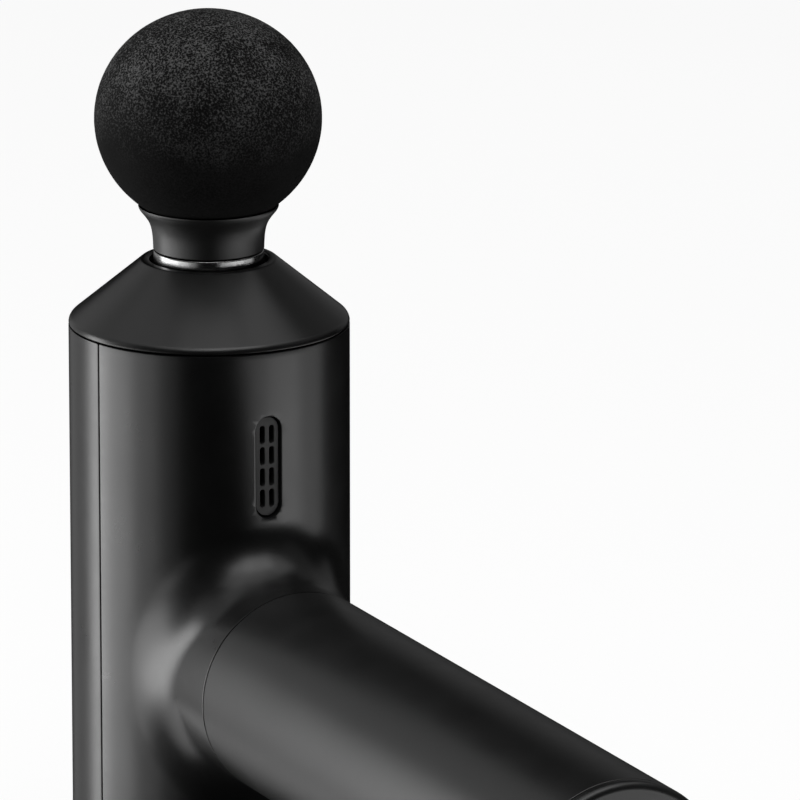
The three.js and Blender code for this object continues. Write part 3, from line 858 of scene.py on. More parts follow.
FINISHES = {
    # Foam: the last four values are the painted highlight on the crown: its two paler colours, and the
    # heights where it starts and where it is full.
    Slot.FOAM: GrainyFoam("grainy_foam", grey(0.003), grey(0.0115), grey(0.004), grey(0.13), 0.168, 0.19),
    Slot.COLLAR: MouldedPlastic("semi_gloss_collar", grey(0.005), grey(0.007), 0.4, 0.46),
    Slot.RUBBER: MouldedPlastic("soft_rubber", grey(0.009), grey(0.014), 0.68, 0.82, 0.6 * MM, 0.01 * MM),
    Slot.POLISHED: WorkedMetal("polished_shaft_steel", grey(0.3), grey(0.38), 0.2, 0.28, "Z"),
    Slot.STEEL: WorkedMetal("turned_steel", grey(0.4), grey(0.5), 0.25, 0.38, "X"),
    Slot.CAST: WorkedMetal(
        "die_cast_alloy", grey(0.42, -0.01), grey(0.54, -0.01), 0.4, 0.58, "", 0.3 * MM, 0.02 * MM
    ),
    Slot.MAGNET: WorkedMetal(
        "laminated_magnet_steel", grey(0.2), grey(0.3), 0.35, 0.5, "X", 0.5 * MM, 0.01 * MM
    ),
    Slot.BRONZE: WorkedMetal(
        "sintered_bronze", (0.5, 0.3, 0.12), (0.62, 0.4, 0.18), 0.38, 0.52, "", 0.2 * MM, 0.01 * MM
    ),
    Slot.SHELL: SatinCoat("satin_shell_coat", grey(0.0045, -0.01), grey(0.006, -0.01), 0.27, 0.32),
    Slot.HANDLE: SatinCoat("satin_handle_coat", grey(0.0085, -0.01), grey(0.0105, -0.01), 0.33, 0.38),
    Slot.INNER: MouldedPlastic("moulded_inner_plastic", grey(0.01), grey(0.016), 0.45, 0.6),
    Slot.FROSTED: FrostedDiffuser("frosted_diffuser", grey(0.55, -0.02), grey(0.68, -0.02)),
    Slot.BOARD: CircuitLacquer("green_circuit_lacquer", (0.008, 0.09, 0.035), (0.02, 0.17, 0.06)),
    Slot.SLEEVE: MouldedPlastic("shrink_sleeve", grey(0.008), grey(0.012), 0.18, 0.28),
    Slot.CELL: MouldedPlastic("blue_cell_wrap", (0.02, 0.1, 0.26), (0.028, 0.13, 0.32), 0.25, 0.36),
    Slot.NICKEL: WorkedMetal("nickel_plate", (0.55, 0.53, 0.48), (0.64, 0.61, 0.56), 0.2, 0.32, "X"),
    Slot.JACKET: MouldedPlastic("lead_jacket", grey(0.01), grey(0.014), 0.4, 0.52),
}


class FinishShelf:
    """Makes each finish's material when it is first asked for, and keeps the list of replaced CAD nodes."""

    def __init__(self) -> None:
        """Starts with no materials made and no nodes replaced."""
        self._made: dict[Slot, Material] = {}
        self.replaced: set[str] = set()

    def take(self, slot: Slot) -> Material:
        """Gives a slot's material.

        Args:
            slot: The record's material slot.

        Returns:
            The material, the same one each time.
        """
        if slot not in self._made:
            self._made[slot] = FINISHES[slot].material()
        return self._made[slot]


# ---- The gun's sub-assemblies ----


@dataclass
class SubAssembly:
    """What the sub-assemblies share: the layout, the finishes and the way that a piece is handed over."""

    layout: Layout
    shelf: FinishShelf

    def hand_over(
        self, piece: Piece, name: str, body: Body, slot: Slot, *stands_for: str, crease: float = 40
    ) -> None:
        """Shades, names and dresses a piece, and puts it on its body.

        Args:
            piece: The piece.
            name: Its name.
            body: The body it rides on.
            slot: The slot whose finish it takes.
            stands_for: The CAD nodes that it replaces.
            crease: Edges that turn by more than this many degrees stay sharp.
        """
        Bench.smooth(piece, crease)
        Bench.settle(piece, name)
        piece.data.materials.clear()
        piece.data.materials.append(self.shelf.take(slot))
        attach(piece, body.value)
        if stands_for:
            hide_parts(*stands_for)
            self.shelf.replaced.update(stands_for)
        LOG.info("%s: %d faces, rides on %s", name, len(piece.data.polygons), body.value)


@dataclass
class MassageHead(SubAssembly):
    """Foam ball on a plug-in adapter with a flared collar, sealed by two O-rings."""

    ball_radius: float = 24.2 * MM
    ball_half_height: float = 23.2 * MM
    core_radius: float = 8.0 * MM
    core_top: float = 165.0 * MM
    stem_radius: float = 6.9 * MM
    stem_bottom: float = 122.8 * MM
    gap: float = 0.3 * MM
    ring_heights: tuple[float, float] = (127.5 * MM, 134.5 * MM)
    ring_radius: float = 6.4 * MM
    ring_wire: float = 0.75 * MM
    lip_inner_radius: float = 14.35 * MM
    foam_grain: float = 0.045 * MM
    foam_cell: float = 1.1 * MM
    collar_bottom: float = 141.2 * MM

    @property
    def ball_centre(self) -> float:
        """Height of the ball's centre."""
        return self.layout.ball_top_z - self.ball_half_height

    def foam_ball(self) -> None:
        """Shapes the ball, slightly flattened, with a fine grain and the bore for the adapter's core."""
        Bench.clear()
        bpy.ops.mesh.primitive_ico_sphere_add(subdivisions=7, radius=self.ball_radius)
        ball = bpy.context.object
        Bench.edit(ball)
        squash = self.ball_half_height / self.ball_radius
        bpy.ops.transform.resize(value=(1, 1, squash), center_override=(0, 0, 0))
        bpy.ops.transform.translate(value=(0, 0, self.ball_centre))
        Bench.leave()
        grain = bpy.data.textures.new("foam_grain", "CLOUDS")
        grain.noise_scale = self.foam_cell
        grain.noise_depth = 1
        Bench.apply(ball, "DISPLACE", texture=grain, strength=self.foam_grain, mid_level=0.75)
        bottom = self.ball_centre - self.ball_half_height - self.gap
        Bench.carve(ball, Lathe.rod(self.core_radius + self.gap, bottom, self.core_top + self.gap, 96))
        self.hand_over(ball, "foam_ball", Body.HEAD, Slot.FOAM, "ball_head", crease=50)

    def adapter(self) -> None:
        """Turns the adapter: grooved stem, collar that flares to a thin lip, dish and core."""
        floor = self.ring_radius - self.ring_wire - self.gap
        half = self.ring_wire + self.gap
        grooves = [
            Station(radius, height + side * half)
            for height in self.ring_heights
            for radius, side in ((self.stem_radius, -1), (floor, -1), (floor, 1), (self.stem_radius, 1))
        ]
        flare = smooth_stations(
            stations(
                (11.83, 141.2), (11.88, 142.7), (12.02, 144.4), (12.3, 145.9), (12.8, 147.25),
                (13.7, 148.6), (14.55, 149.65), (14.93, 150.35), (14.97, 150.8),
            ),
            4,
        )
        dish = []
        start = math.acos(self.lip_inner_radius / (self.ball_radius + self.gap))
        stop = math.acos(self.core_radius / (self.ball_radius + self.gap))
        for i in range(13):
            angle = start + (stop - start) * i / 12
            dish.append(
                Station(
                    (self.ball_radius + self.gap) * math.cos(angle),
                    self.ball_centre - (self.ball_half_height + self.gap) * math.sin(angle),
                )
            )
        profile = [
            Station(0, self.stem_bottom),
            Station(self.stem_radius, self.stem_bottom),
            *grooves,
            Station(self.stem_radius, self.layout.adapter_low_z + (self.collar_bottom - self.stem_bottom)),
            *flare,
            *dish,
            Station(self.core_radius, self.core_top),
            Station(0, self.core_top),
        ]
        piece = Lathe.turn(profile, sides=192)
        Bench.soften(piece, 0.14 * MM, 40)
        self.hand_over(piece, "head_collar", Body.HEAD, Slot.COLLAR, "head_adapter")

    def seal_ring(self, height: float, name: str, node: str) -> None:
        """Turns one O-ring.

        Args:
            height: Height of its centre.
            name: The piece's name.
            node: The CAD node that it replaces.
        """
        wire = arc_stations(Station(self.ring_radius, height), self.ring_wire, 0, 345, 23)
        piece = Lathe.turn(wire, sides=96, closed=True)
        self.hand_over(piece, name, Body.HEAD, Slot.RUBBER, node, crease=60)

    def build(self) -> None:
        """Builds the head."""
        self.foam_ball()
        self.adapter()
        for height, place in zip(self.ring_heights, ("lower", "upper")):
            self.seal_ring(height, f"seal_ring_{place}", f"o_ring_{place}")


@dataclass
class Plunger(SubAssembly):
    """Polished shaft that strokes in and out of the nose, with the socket that the head plugs into."""

    socket_radius: float = 7.4 * MM
    socket_floor: float = 121.5 * MM
    fork_half: float = 3.5 * MM
    fork_depth: float = 9.0 * MM
    wrist_height: float = 103.0 * MM
    pin_bore: float = 3.3 * MM

    def build(self) -> None:
        """Builds the plunger."""
        low, high, radius = self.layout.shaft_bottom_z, self.layout.shaft_top_z, self.layout.shaft_radius
        body = Lathe.turn(
            [
                Station(0, low),
                Station(radius - 0.5 * MM, low),
                Station(radius, low + 0.5 * MM),
                Station(radius, high),
                Station(self.socket_radius, high),
                Station(self.socket_radius, self.socket_floor),
                Station(0, self.socket_floor),
            ],
            sides=192,
        )
        Bench.clear()
        bpy.ops.mesh.primitive_cube_add(size=1)
        fork = bpy.context.object
        Bench.edit(fork)
        slot_top = self.wrist_height + self.fork_depth
        size = (2 * self.fork_half, 4 * radius, slot_top - low + REACH)
        bpy.ops.transform.resize(value=size, center_override=(0, 0, 0))
        bpy.ops.transform.translate(value=(0, 0, slot_top - size[2] / 2))
        Bench.leave()
        Bench.carve(body, fork)
        bore = Lathe.rod(self.pin_bore, -2 * radius, 2 * radius, 64)
        Bench.place(bore, (0, 0, self.wrist_height), (0, math.pi / 2, 0))
        Bench.carve(body, bore)
        Bench.soften(body, 0.3 * MM, 50)
        self.hand_over(body, "drive_plunger", Body.SHAFT, Slot.POLISHED, "drive_shaft")


@dataclass
class NoseCone(SubAssembly):
    """Cone that closes the barrel's top, with a rounded lower edge and a flat rim round the plunger."""

    edge_round: float = 2.0 * MM
    edge_turn: float = 50.4
    rim_radius: float = 14.4 * MM
    rim_depth: float = 3.45 * MM
    bore_radius: float = 12.7 * MM
    wall: float = 2.5 * MM
    wall_start: float = 1.85 * MM
    spigot_radius: float = 27.3 * MM
    spigot_bore: float = 25.0 * MM
    spigot_length: float = 4.65 * MM
    screw_circle: float = 22.5 * MM
    screw_hole: float = 1.7 * MM
    boss_radius: float = 3.2 * MM
    boss_bottom: float = 118.8 * MM
    boss_top: float = 128.5 * MM

    def build(self) -> None:
        """Builds the nose cone."""
        bottom = self.layout.nose_seam_z + SEAM
        top = self.layout.nose_top_z
        edge = Station(self.layout.barrel_radius - self.edge_round, bottom)
        rounding = arc_stations(edge, self.edge_round, 0, self.edge_turn, 7)
        slope = (rounding[-1].radius - self.rim_radius) / (top - rounding[-1].along)
        ledge = top - self.rim_depth
        inner_top, inner_bottom = (
            Station(self.rim_radius - self.wall * math.hypot(1, slope) + (top - height) * slope, height)
            for height in (ledge, bottom + self.wall_start)
        )
        body = Lathe.turn(
            [
                Station(self.spigot_bore, bottom - self.spigot_length),
                Station(self.spigot_radius, bottom - self.spigot_length),
                Station(self.spigot_radius, bottom),
                *rounding,
                Station(self.rim_radius, top),
                Station(self.bore_radius, top),
                Station(self.bore_radius, ledge),
                inner_top,
                inner_bottom,
                Station(self.spigot_bore, bottom + self.wall_start - 0.2 * MM),
            ],
            sides=240,
            closed=True,
        )
        Bench.soften(body, 0.25 * MM, 35)
        boss = Lathe.turn(
            [
                Station(self.screw_hole, self.boss_bottom),
                Station(self.boss_radius, self.boss_bottom),
                Station(self.boss_radius, self.boss_top),
                Station(self.screw_hole, self.boss_top),
            ],
            sides=32,
            closed=True,
        )
        posts = [Bench.copy(boss, on_circle(self.screw_circle, degrees)) for degrees in (45, 135, 225, 315)]
        bpy.data.objects.remove(boss)
        Bench.join([body, *posts])
        self.hand_over(body, "nose_cone_shell", Body.HOUSING, Slot.SHELL, "nose_cone")


@dataclass
class BarrelShells(SubAssembly):
    """Front shell with the filleted handle root and the vent opening, and the plain rear shell."""

    wall: float = 2.0 * MM
    parting_deg: float = 76.0
    root_end: float = 44.0 * MM
    spigot_radius: float = 19.8 * MM
    spigot_end: float = 48.0 * MM
    fillet_radius: float = 12.0 * MM
    fillet_radius_extra: float = 4.5 * MM
    fillet_run_out: float = 4.0 * MM
    fillet_pull: float = 0.52
    vent_height: float = 100.0 * MM
    vent_width: float = 6.0 * MM
    vent_length: float = 22.2 * MM
    pitch: float = 1.5 * MM
    around: int = 216
    across: int = 16
    edge_round: float = 0.22 * MM

    def _on_barrel(self, along: float, height: float) -> Vector:
        """Rolls a flat place, measured along the barrel's girth, onto the barrel."""
        radius = self.layout.barrel_radius
        return Vector((radius * math.cos(along / radius), radius * math.sin(along / radius), height))

    def _fillet_row(self, turn: float) -> tuple[tuple[float, float], list[Vector]]:
        """One section of the fillet and the root tube, at an angle round the handle.

        Args:
            turn: Angle round the handle's axis, in radians, from +Y towards +Z.

        Returns:
            The flat place of its end on the barrel, and its points from there to the spigot's end.
        """
        radius, tube = self.layout.barrel_radius, self.layout.handle_radius
        side, lift = math.cos(turn), math.sin(turn)
        foot = math.asin(tube * side / radius)
        foot_x = radius * math.cos(foot)
        outward = Vector((side * math.cos(foot), lift)).normalized()
        rounding = self.fillet_radius + self.fillet_radius_extra * side * side
        reach = rounding * math.tan(math.acos(side * side * tube / radius) / 2)
        along = radius * foot + reach * outward.x
        height = self.layout.handle_z + tube * lift + reach * outward.y
        root_x = foot_x + reach + self.fillet_run_out * side * side
        on_barrel = self._on_barrel(along, height)
        on_root = Vector((root_x, tube * side, self.layout.handle_z + tube * lift))
        angle = along / radius
        back = Vector((math.sin(angle) * outward.x, -math.cos(angle) * outward.x, -outward.y))
        pull_in = on_barrel + back * (self.fillet_pull * reach)
        pull_out = on_root - Vector((self.fillet_pull * (root_x - foot_x), 0, 0))
        points = interpolate_bezier(on_barrel, pull_in, pull_out, on_root, self.across + 1)
        for x, girth in (
            ((root_x + self.root_end) / 2, tube),
            (self.root_end, tube),
            (self.root_end, self.spigot_radius),
            (self.spigot_end, self.spigot_radius),
        ):
            points.append(Vector((x, girth * side, self.layout.handle_z + girth * lift)))
        return (along, height), points

    def _vent_loop(self) -> list[tuple[float, float]]:
        """Flat outline of the vent opening, counter-clockwise."""
        radius = self.vent_width / 2
        straight = self.vent_length / 2 - radius
        loop = []
        barrel, steps = self.layout.barrel_radius, 24
        for centre, start in ((straight, 0), (-straight, 180)):
            for i in range(steps + 1):
                angle = math.radians(start + 180 * i / steps)
                across = barrel * math.asin(radius * math.cos(angle) / barrel)
                loop.append((across, self.vent_height + centre + radius * math.sin(angle)))
        return loop

    def _edge_loop(self, half: float, low: float, high: float) -> list[tuple[float, float]]:
        """Flat outline of the whole front shell, counter-clockwise, in steps of about the pitch."""
        corners = [(-half, low), (half, low), (half, high), (-half, high)]
        loop = []
        for (x0, z0), (x1, z1) in zip(corners, corners[1:] + corners[:1]):
            steps = round(math.hypot(x1 - x0, z1 - z0) / self.pitch)
            loop += [(x0 + (x1 - x0) * i / steps, z0 + (z1 - z0) * i / steps) for i in range(steps)]
        return loop

    @staticmethod
    def _inside(place: Sequence[float], loop: Sequence[tuple[float, float]]) -> bool:
        """Tells whether a flat place is inside a closed outline."""
        x, z = place
        odd = False
        for (x0, z0), (x1, z1) in zip(loop, [*loop[1:], loop[0]]):
            if (z0 > z) != (z1 > z) and x < x0 + (z - z0) * (x1 - x0) / (z1 - z0):
                odd = not odd
        return odd

    def _lattice(
        self, half: float, low: float, high: float, loops: Sequence[Sequence[tuple[float, float]]]
    ) -> list[tuple[float, float]]:
        """Evenly spread inner places of the front shell, clear of its outlines.

        Args:
            half: Half of the shell's girth.
            low: Height of its lower edge.
            high: Height of its upper edge.
            loops: The outlines to stay clear of, the outer one first.

        Returns:
            The places, in a triangular lattice.
        """
        rows = round((high - low) / (self.pitch * 0.866))
        columns = round(2 * half / self.pitch)
        outline = [place for loop in loops for place in loop]
        clear = 0.62 * self.pitch
        made = []
        for row in range(1, rows):
            z = low + (high - low) * row / rows
            near = [place for place in outline if abs(place[1] - z) < clear]
            for column in range(columns):
                x = -half + 2 * half * (column + 0.25 + 0.5 * (row % 2)) / columns
                if any(self._inside((x, z), loop) for loop in loops[1:]):
                    continue
                if all(math.hypot(x - px, z - pz) > clear for px, pz in near):
                    made.append((x, z))
        return made

    def _front_skin(self) -> Piece:
        """Lays out the front shell's outer surface: triangles rolled onto the barrel, and the fillet."""
        half = self.layout.barrel_radius * math.radians(self.parting_deg) - SEAM
        low, high = self.layout.tail_seam_z + SEAM, self.layout.nose_seam_z - SEAM
        rows = [self._fillet_row(2 * math.pi * i / self.around) for i in range(self.around)]
        root_loop = [flat for flat, _ in rows]
        loops = [self._edge_loop(half, low, high), root_loop, self._vent_loop()]
        places, edges = [], []
        for loop in loops:
            start = len(places)
            places += loop
            edges += [(start + i, start + (i + 1) % len(loop)) for i in range(len(loop))]
        places += self._lattice(half, low, high, loops)
        flat = [Vector((x / MM, z / MM)) for x, z in places]
        corners, _, faces, _, _, _ = delaunay_2d_cdt(flat, edges, [], 0, 1e-5)
        kept = []
        for face in faces:
            middle = sum((corners[i] for i in face), Vector((0, 0))) * (MM / len(face))
            if not any(self._inside(middle, loop) for loop in loops[1:]):
                kept.append(tuple(face))
        points = [self._on_barrel(place.x * MM, place.y * MM) for place in corners]
        for i, (_, row) in enumerate(rows):
            start = len(points)
            count = len(row)
            points += row
            after = start + count if i + 1 < len(rows) else start - count * (len(rows) - 1)
            kept += [(start + j, after + j, after + j + 1, start + j + 1) for j in range(count - 1)]
        piece = Bench.weave("front_skin", points, [], kept)
        Bench.edit(piece)
        bpy.ops.mesh.remove_doubles(threshold=MERGE)
        Bench.leave()
        return piece

    def _thicken(self, piece: Piece, name: str, node: str) -> None:
        """Gives a skin its wall, rounds the wall's edges and hands the shell over.

        Args:
            piece: The skin.
            name: The shell's name.
            node: The CAD node that it replaces.
        """
        Bench.apply(
            piece, "SOLIDIFY", thickness=self.wall, offset=-1, use_even_offset=True, use_quality_normals=True
        )
        Bench.soften(piece, self.edge_round, 50, 2)
        self.hand_over(piece, name, Body.HOUSING, Slot.SHELL, node, crease=35)

    def rear(self) -> None:
        """Spins the rear shell from one upright edge."""
        radius = self.layout.barrel_radius
        low, high = self.layout.tail_seam_z + SEAM, self.layout.nose_seam_z - SEAM
        piece = Bench.weave("rear_edge", [(radius, 0, low), (radius, 0, high)], [(0, 1)], [])
        sweep = 2 * math.pi - 2 * math.radians(self.parting_deg) - 2 * SEAM / radius
        Bench.edit(piece, "EDGE")
        bpy.ops.mesh.spin(steps=140, angle=sweep, center=(0, 0, 0), axis=(0, 0, 1))
        Bench.leave()
        middle = sum((vertex.co for vertex in piece.data.vertices), Vector())
        Bench.place(piece, turn=(0, 0, math.pi - math.atan2(middle.y, middle.x)))
        face = piece.data.polygons[0]
        if face.normal.dot(Vector((face.center.x, face.center.y, 0))) < 0:
            Bench.edit(piece)
            bpy.ops.mesh.flip_normals()
            Bench.leave()
        self._thicken(piece, "barrel_rear_shell", "rear_shell")

    def build(self) -> None:
        """Builds both shells."""
        self._thicken(self._front_skin(), "barrel_front_shell", "front_shell")
        self.rear()


@dataclass
class VentInsert(SubAssembly):
    """Pill-shaped insert behind the vent opening, with two columns of four slots."""

    height: float = 100.0 * MM
    face_width: float = 5.4 * MM
    face_length: float = 21.6 * MM
    flange_extra: float = 3.6 * MM
    back: float = 25.5 * MM
    step: float = 26.7 * MM
    face: float = 29.0 * MM
    slot_width: float = 1.05 * MM
    slot_length: float = 3.85 * MM
    slot_offset: float = 1.07 * MM
    slot_pitch: float = 4.64 * MM

    def build(self) -> None:
        """Builds the insert."""
        plate = Outline.pill(self.face_width, self.face_length, self.step - 0.4 * MM, self.face, 64)
        flange = Outline.pill(
            self.face_width + self.flange_extra,
            self.face_length + self.flange_extra,
            self.back,
            self.step,
            64,
        )
        Bench.unite(plate, flange)
        cutter = Outline.pill(self.slot_width, self.slot_length, self.back - MM, self.face + MM, 24)
        for column in (-1, 1):
            for row in (-1.5, -0.5, 0.5, 1.5):
                Bench.carve(plate, Bench.copy(cutter, (column * self.slot_offset, row * self.slot_pitch, 0)))
        bpy.data.objects.remove(cutter)
        Bench.soften(plate, 0.16 * MM, 50)
        Outline.stand_facing_front(plate, self.height)
        self.hand_over(plate, "vent_insert", Body.HOUSING, Slot.INNER, "vent_grille")


@dataclass
class TailEnd(SubAssembly):
    """Cap on the barrel's tail, with the power button and a curved light bar."""

    flat_radius: float = 27.0 * MM
    edge_round: float = 3.0 * MM
    spigot_radius: float = 27.3 * MM
    spigot_bore: float = 25.2 * MM
    spigot_top: float = 12.0 * MM
    plate: float = 4.0 * MM
    post_radius: float = 2.0 * MM
    post_circle: float = 21.0 * MM
    post_top: float = 9.7 * MM
    post_root: float = 0.6 * MM
    button_gap: float = 0.4 * MM
    bar_bend: float = 17.0 * MM
    bar_half: float = 1.2 * MM
    bar_angle: float = 42.0
    bar_gap: float = 0.3 * MM

    def cap(self) -> None:
        """Turns the cap and cuts the openings for the button and the light bar."""
        seam = self.layout.tail_seam_z - SEAM
        piece = Lathe.turn(
            [
                Station(0, 0),
                *arc_stations(Station(self.flat_radius, self.edge_round), self.edge_round, -90, 0, 9),
                Station(self.layout.barrel_radius, seam),
                Station(self.spigot_radius, seam),
                Station(self.spigot_radius, self.spigot_top),
                Station(self.spigot_bore, self.spigot_top),
                Station(self.spigot_bore, self.plate),
                Station(0, self.plate),
            ],
            sides=240,
        )
        post = Lathe.rod(self.post_radius, self.plate - self.post_root, self.post_top, 32)
        for degrees in (0, 120, 240):
            Bench.unite(piece, Bench.copy(post, on_circle(self.post_circle, degrees)))
        bpy.data.objects.remove(post)
        low, high = -MM, self.plate + 2 * MM
        hole = Lathe.rod(self.layout.button_radius + self.button_gap, low, high, 96)
        hole.location = (self.layout.button_centre_x, 0, 0)
        Bench.carve(piece, hole)
        opening = self.bar_half + self.bar_gap
        Bench.carve(piece, Outline.bent_pill(opening, self.bar_bend, self.bar_angle, low, high))
        Bench.soften(piece, 0.25 * MM, 45)
        self.hand_over(piece, "tail_cap_shell", Body.HOUSING, Slot.SHELL, "tail_cap")

    def button(self) -> None:
        """Turns the dished push button with its keeper flange and plunger."""
        dish = smooth_stations(stations((0, 0.82), (2.2, 0.77), (4.2, 0.6), (5.3, 0.42)), 4)
        rim = arc_stations(Station(5.45 * MM, 0.95 * MM), 0.55 * MM, -90, 0, 5)
        piece = Lathe.turn(
            dish + rim + stations((6, 4.3), (7.6, 4.3), (7.6, 5.2), (2, 5.2), (2, 5.6), (0, 5.6)), sides=120
        )
        Bench.soften(piece, 0.1 * MM, 50)
        piece.location = (self.layout.button_centre_x, 0, 0)
        self.hand_over(piece, "push_button", Body.BUTTON, Slot.COLLAR, "power_button")

    def light_bar(self) -> None:
        """Bends the frosted light bar round the tail."""
        piece = Outline.bent_pill(self.bar_half, self.bar_bend, self.bar_angle, 0.3 * MM, 3.8 * MM)
        Bench.soften(piece, 0.25 * MM, 50)
        self.hand_over(piece, "light_diffuser", Body.HOUSING, Slot.FROSTED, "light_bar")

    def build(self) -> None:
        """Builds the tail end."""
        self.cap()
        self.button()
        self.light_bar()


@dataclass
class Grip(SubAssembly):
    """Round grip tube, its end cap and the charging socket."""

    bore: float = 20.1 * MM
    seam_closed_by: float = 0.15 * MM
    end_round: float = 1.6 * MM
    edge_round: float = 0.28 * MM
    steps: int = 24
    cup_bore: float = 17.3 * MM
    cup_floor: float = 0.2 * MM
    cup_length: float = 5.9 * MM
    port_width: float = 3.8 * MM
    port_length: float = 9.6 * MM
    port_wall: float = 0.35 * MM
    tongue_thick: float = 0.7 * MM
    tongue_wide: float = 6.6 * MM

    def tube(self) -> None:
        """Turns the tube."""
        start, end = self.layout.grip_start_x - self.seam_closed_by, self.layout.grip_end_x
        radius = self.layout.handle_radius
        outside = [Station(radius, start + (end - start) * i / self.steps) for i in range(self.steps + 1)]
        ring = [Station(self.bore, start), *outside, Station(self.bore, end)]
        piece = Lathe.turn(ring, sides=240, closed=True)
        Bench.soften(piece, self.edge_round, 50)
        Lathe.lay_along_handle(piece, self.layout)
        self.hand_over(piece, "grip_sleeve", Body.HOUSING, Slot.HANDLE, "grip_tube")

    def cap(self) -> None:
        """Turns the end cap and cuts the socket's opening."""
        end, radius = self.layout.handle_end_x, self.layout.handle_radius
        seam = self.layout.grip_end_x + 2 * SEAM
        plug = self.bore - 0.3 * MM
        corner = Station(radius - self.end_round, end - self.end_round)
        rounding = arc_stations(corner, self.end_round, 0, 90, 8)
        piece = Lathe.turn(
            [
                Station(0, seam + self.cup_floor),
                Station(self.cup_bore, seam + self.cup_floor),
                Station(self.cup_bore, seam - self.cup_length),
                Station(plug, seam - self.cup_length),
                Station(plug, seam),
                Station(radius, seam),
                *rounding,
                Station(0, end),
            ],
            sides=240,
        )
        Bench.carve(piece, Outline.pill(self.port_width, self.port_length, end - REACH, end + REACH, 64))
        Bench.soften(piece, 0.2 * MM, 45)
        Lathe.lay_along_handle(piece, self.layout)
        self.hand_over(piece, "handle_end_cap", Body.HOUSING, Slot.HANDLE, "end_cap")

    def socket(self) -> None:
        """Makes the charging socket's shell and its tongue."""
        end, wall = self.layout.handle_end_x, self.port_wall
        width, length = self.port_width - 0.6 * MM, self.port_length - 0.6 * MM
        shell = Outline.pill(width, length, end - 7 * MM, end - 0.3 * MM, 48)
        Bench.carve(shell, Outline.pill(width - 2 * wall, length - 2 * wall, end - 6 * MM, end + REACH, 48))
        tongue = Outline.pill(self.tongue_thick, self.tongue_wide, end - 6.2 * MM, end - 1.2 * MM, 24)
        for piece in (shell, tongue):
            Bench.soften(piece, 0.08 * MM, 50, 2)
            Lathe.lay_along_handle(piece, self.layout)
        self.hand_over(shell, "charge_socket", Body.HOUSING, Slot.NICKEL, "charge_port")
        self.hand_over(tongue, "charge_tongue", Body.HOUSING, Slot.INNER)

    def build(self) -> None:
        """Builds the grip."""
        self.tube()
        self.cap()
        self.socket()


@dataclass
class InnerWorks(SubAssembly):
    """The CAD nodes that keep their shape: motor, linkage, fan, boards, cells, leads, screws. Built last."""

    def build(self) -> None:
        """Gives each carried-over node the finish of its slot."""
        for row in frame["record"]["subparts"]:
            if row["node"] in self.shelf.replaced:
                continue
            node = frame["nodes"][row["node"]]
            for place in node.material_slots:
                place.material = self.shelf.take(Slot(row["material_slot"]))
            LOG.info("%s: kept, finish %s", row["node"], row["material_slot"])


# ---- Studio ----


@dataclass(frozen=True)
class Softbox:
    """One soft lamp, placed and sized in degrees as the object sees it: right of the camera, and up."""

    name: str
    azimuth: float
    elevation: float
    wide: float
    tall: float
    radiance: float
    distance: float = 0.8
    centre: float = 0.1

    def place(self, camera_azimuth: float) -> None:
        """Adds the lamp.

        Args:
            camera_azimuth: The camera's direction, in degrees.
        """
        turn, rise = math.radians(camera_azimuth + self.azimuth), math.radians(self.elevation)
        outward = Vector((math.sin(turn) * math.cos(rise), -math.cos(turn) * math.cos(rise), math.sin(rise)))
        lamp = bpy.data.lights.new(self.name, "AREA")
        lamp.shape = "RECTANGLE"
        lamp.size = 2 * self.distance * math.cos(rise) * math.tan(math.radians(self.wide / 2))
        lamp.size_y = 2 * self.distance * math.tan(math.radians(self.tall / 2))
        lamp.energy = self.radiance * math.pi * lamp.size * lamp.size_y
        lamp_object = bpy.data.objects.new(self.name, lamp)
        bpy.context.scene.collection.objects.link(lamp_object)
        lamp_object.location = Vector((0, 0, self.centre)) + outward * self.distance
        lamp_object.rotation_euler = (-outward).to_track_quat("-Z", "Y").to_euler()
        lamp_object.visible_camera = False


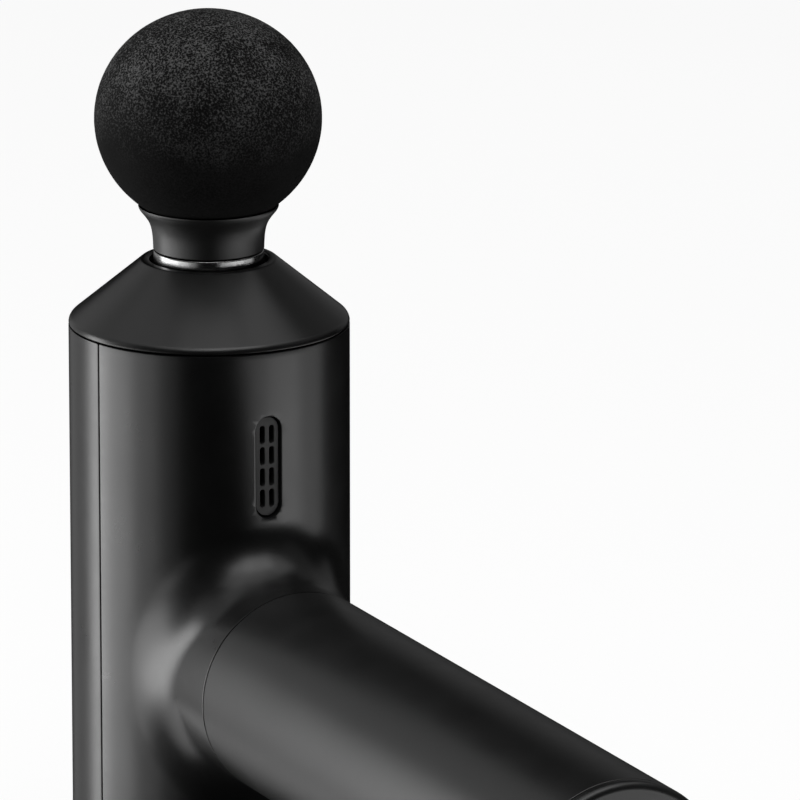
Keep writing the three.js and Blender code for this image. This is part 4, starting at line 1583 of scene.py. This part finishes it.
@dataclass(frozen=True)
class Studio:
    """Pale floor, soft lamps and the camera."""

    azimuth: float = 64.26
    elevation: float = 14.74
    distance: float = 2.0
    lens: float = 422.1
    aim_height: float = 0.125
    aim_right: float = 0.04069
    aim_up: float = -0.01682
    sensor: float = 36.0
    pale: float = 0.945
    floor_size: float = 60.0
    floor_drop: float = 0.2 * MM
    floor_answer: float = 0.11
    lamps: tuple[Softbox, ...] = (
        Softbox("left_key_rear", -102, -2, 20, 46, 5.6),
        Softbox("left_key_front", -79, -12, 28, 28, 3.7),
        Softbox("left_feather", -53, -12, 24, 24, 1.7),
        Softbox("left_edge", -33, -12, 16, 24, 0.5),
        Softbox("back_left", -134, -2, 44, 46, 0.35),
        Softbox("right_key", 64, -19, 32, 18, 2.9),
        Softbox("right_feather", 36, -19, 24, 18, 1.8),
        Softbox("right_edge", 92, -16, 24, 24, 1.1),
        Softbox("low_left", -120, -38, 40, 24, 1.1),
        Softbox("low_right", 98, -38, 80, 24, 1.0),
        Softbox("top_right", 30, 60, 60, 26, 2.4),
        Softbox("top_left", -30, 60, 60, 26, 1.2),
        Softbox("top_far_right", 90, 60, 60, 26, 1.1),
        Softbox("top_far_left", -100, 60, 70, 26, 0.7),
        Softbox("overhead", 0, 88, 164, 28, 1.1),
        Softbox("upper_left", -110, 34, 80, 24, 0.45),
        Softbox("upper_right", 110, 34, 80, 24, 0.15),
        Softbox("rear_fill", 156, 10, 50, 24, 0.15),
        Softbox("crown_front", -4, 50, 40, 16, 1.6),
    )

    def camera(self) -> None:
        """Places the camera."""
        turn, rise = math.radians(self.azimuth), math.radians(self.elevation)
        right = Vector((math.cos(turn), math.sin(turn), 0))
        up = Vector((-math.sin(turn) * math.sin(rise), math.cos(turn) * math.sin(rise), math.cos(rise)))
        back = Vector((math.sin(turn) * math.cos(rise), -math.cos(turn) * math.cos(rise), math.sin(rise)))
        data = bpy.data.cameras.new("camera")
        data.lens = self.lens
        data.sensor_width = self.sensor
        camera = bpy.data.objects.new("camera", data)
        bpy.context.scene.collection.objects.link(camera)
        aim = Vector((0, 0, self.aim_height)) + right * self.aim_right + up * self.aim_up
        camera.location = aim + back * self.distance
        camera.rotation_euler = (-back).to_track_quat("-Z", "Y").to_euler()
        bpy.context.scene.camera = camera

    def floor(self) -> None:
        """Lays the floor, which glows evenly so that it stays pale at every distance."""
        Bench.clear()
        bpy.ops.mesh.primitive_plane_add(size=self.floor_size, location=(0, 0, -self.floor_drop))
        floor = bpy.context.object
        floor.name = "floor"
        board = NodeBoard("pale_floor")
        board.fix(Base_Color=(*grey(self.floor_answer), 1), Roughness=1.0, Specular_IOR_Level=0.0)
        board.fix(Emission_Color=(1, 1, 1, 1), Emission_Strength=self.pale - 0.015)
        floor.data.materials.append(board.material)
        floor.visible_glossy = False
        floor.visible_diffuse = False
        floor.visible_shadow = False

    def world(self) -> None:
        """Sets the pale surroundings, which light the object only faintly."""
        world = bpy.data.worlds.new("studio")
        bpy.context.scene.world = world
        world.use_nodes = True
        sky = world.node_tree.nodes["Background"]
        sky.inputs["Color"].default_value = (1, 1, 1, 1)
        sky.inputs["Strength"].default_value = self.pale
        world.cycles_visibility.glossy = False
        world.cycles_visibility.diffuse = False
        bpy.context.scene.view_settings.view_transform = "Standard"

    def build(self) -> None:
        """Builds the studio."""
        self.world()
        self.floor()
        for lamp in self.lamps:
            lamp.place(self.azimuth)
        self.camera()


def main() -> None:
    """Builds the gun round the frame, then the studio."""
    logging.basicConfig(level=logging.INFO, format="%(name)s: %(message)s")
    layout = Layout.from_frame()
    shelf = FinishShelf()
    for kind in (MassageHead, Plunger, NoseCone, BarrelShells, VentInsert, TailEnd, Grip, InnerWorks):
        kind(layout, shelf).build()
    Studio().build()


if __name__ == "__main__":
    main()
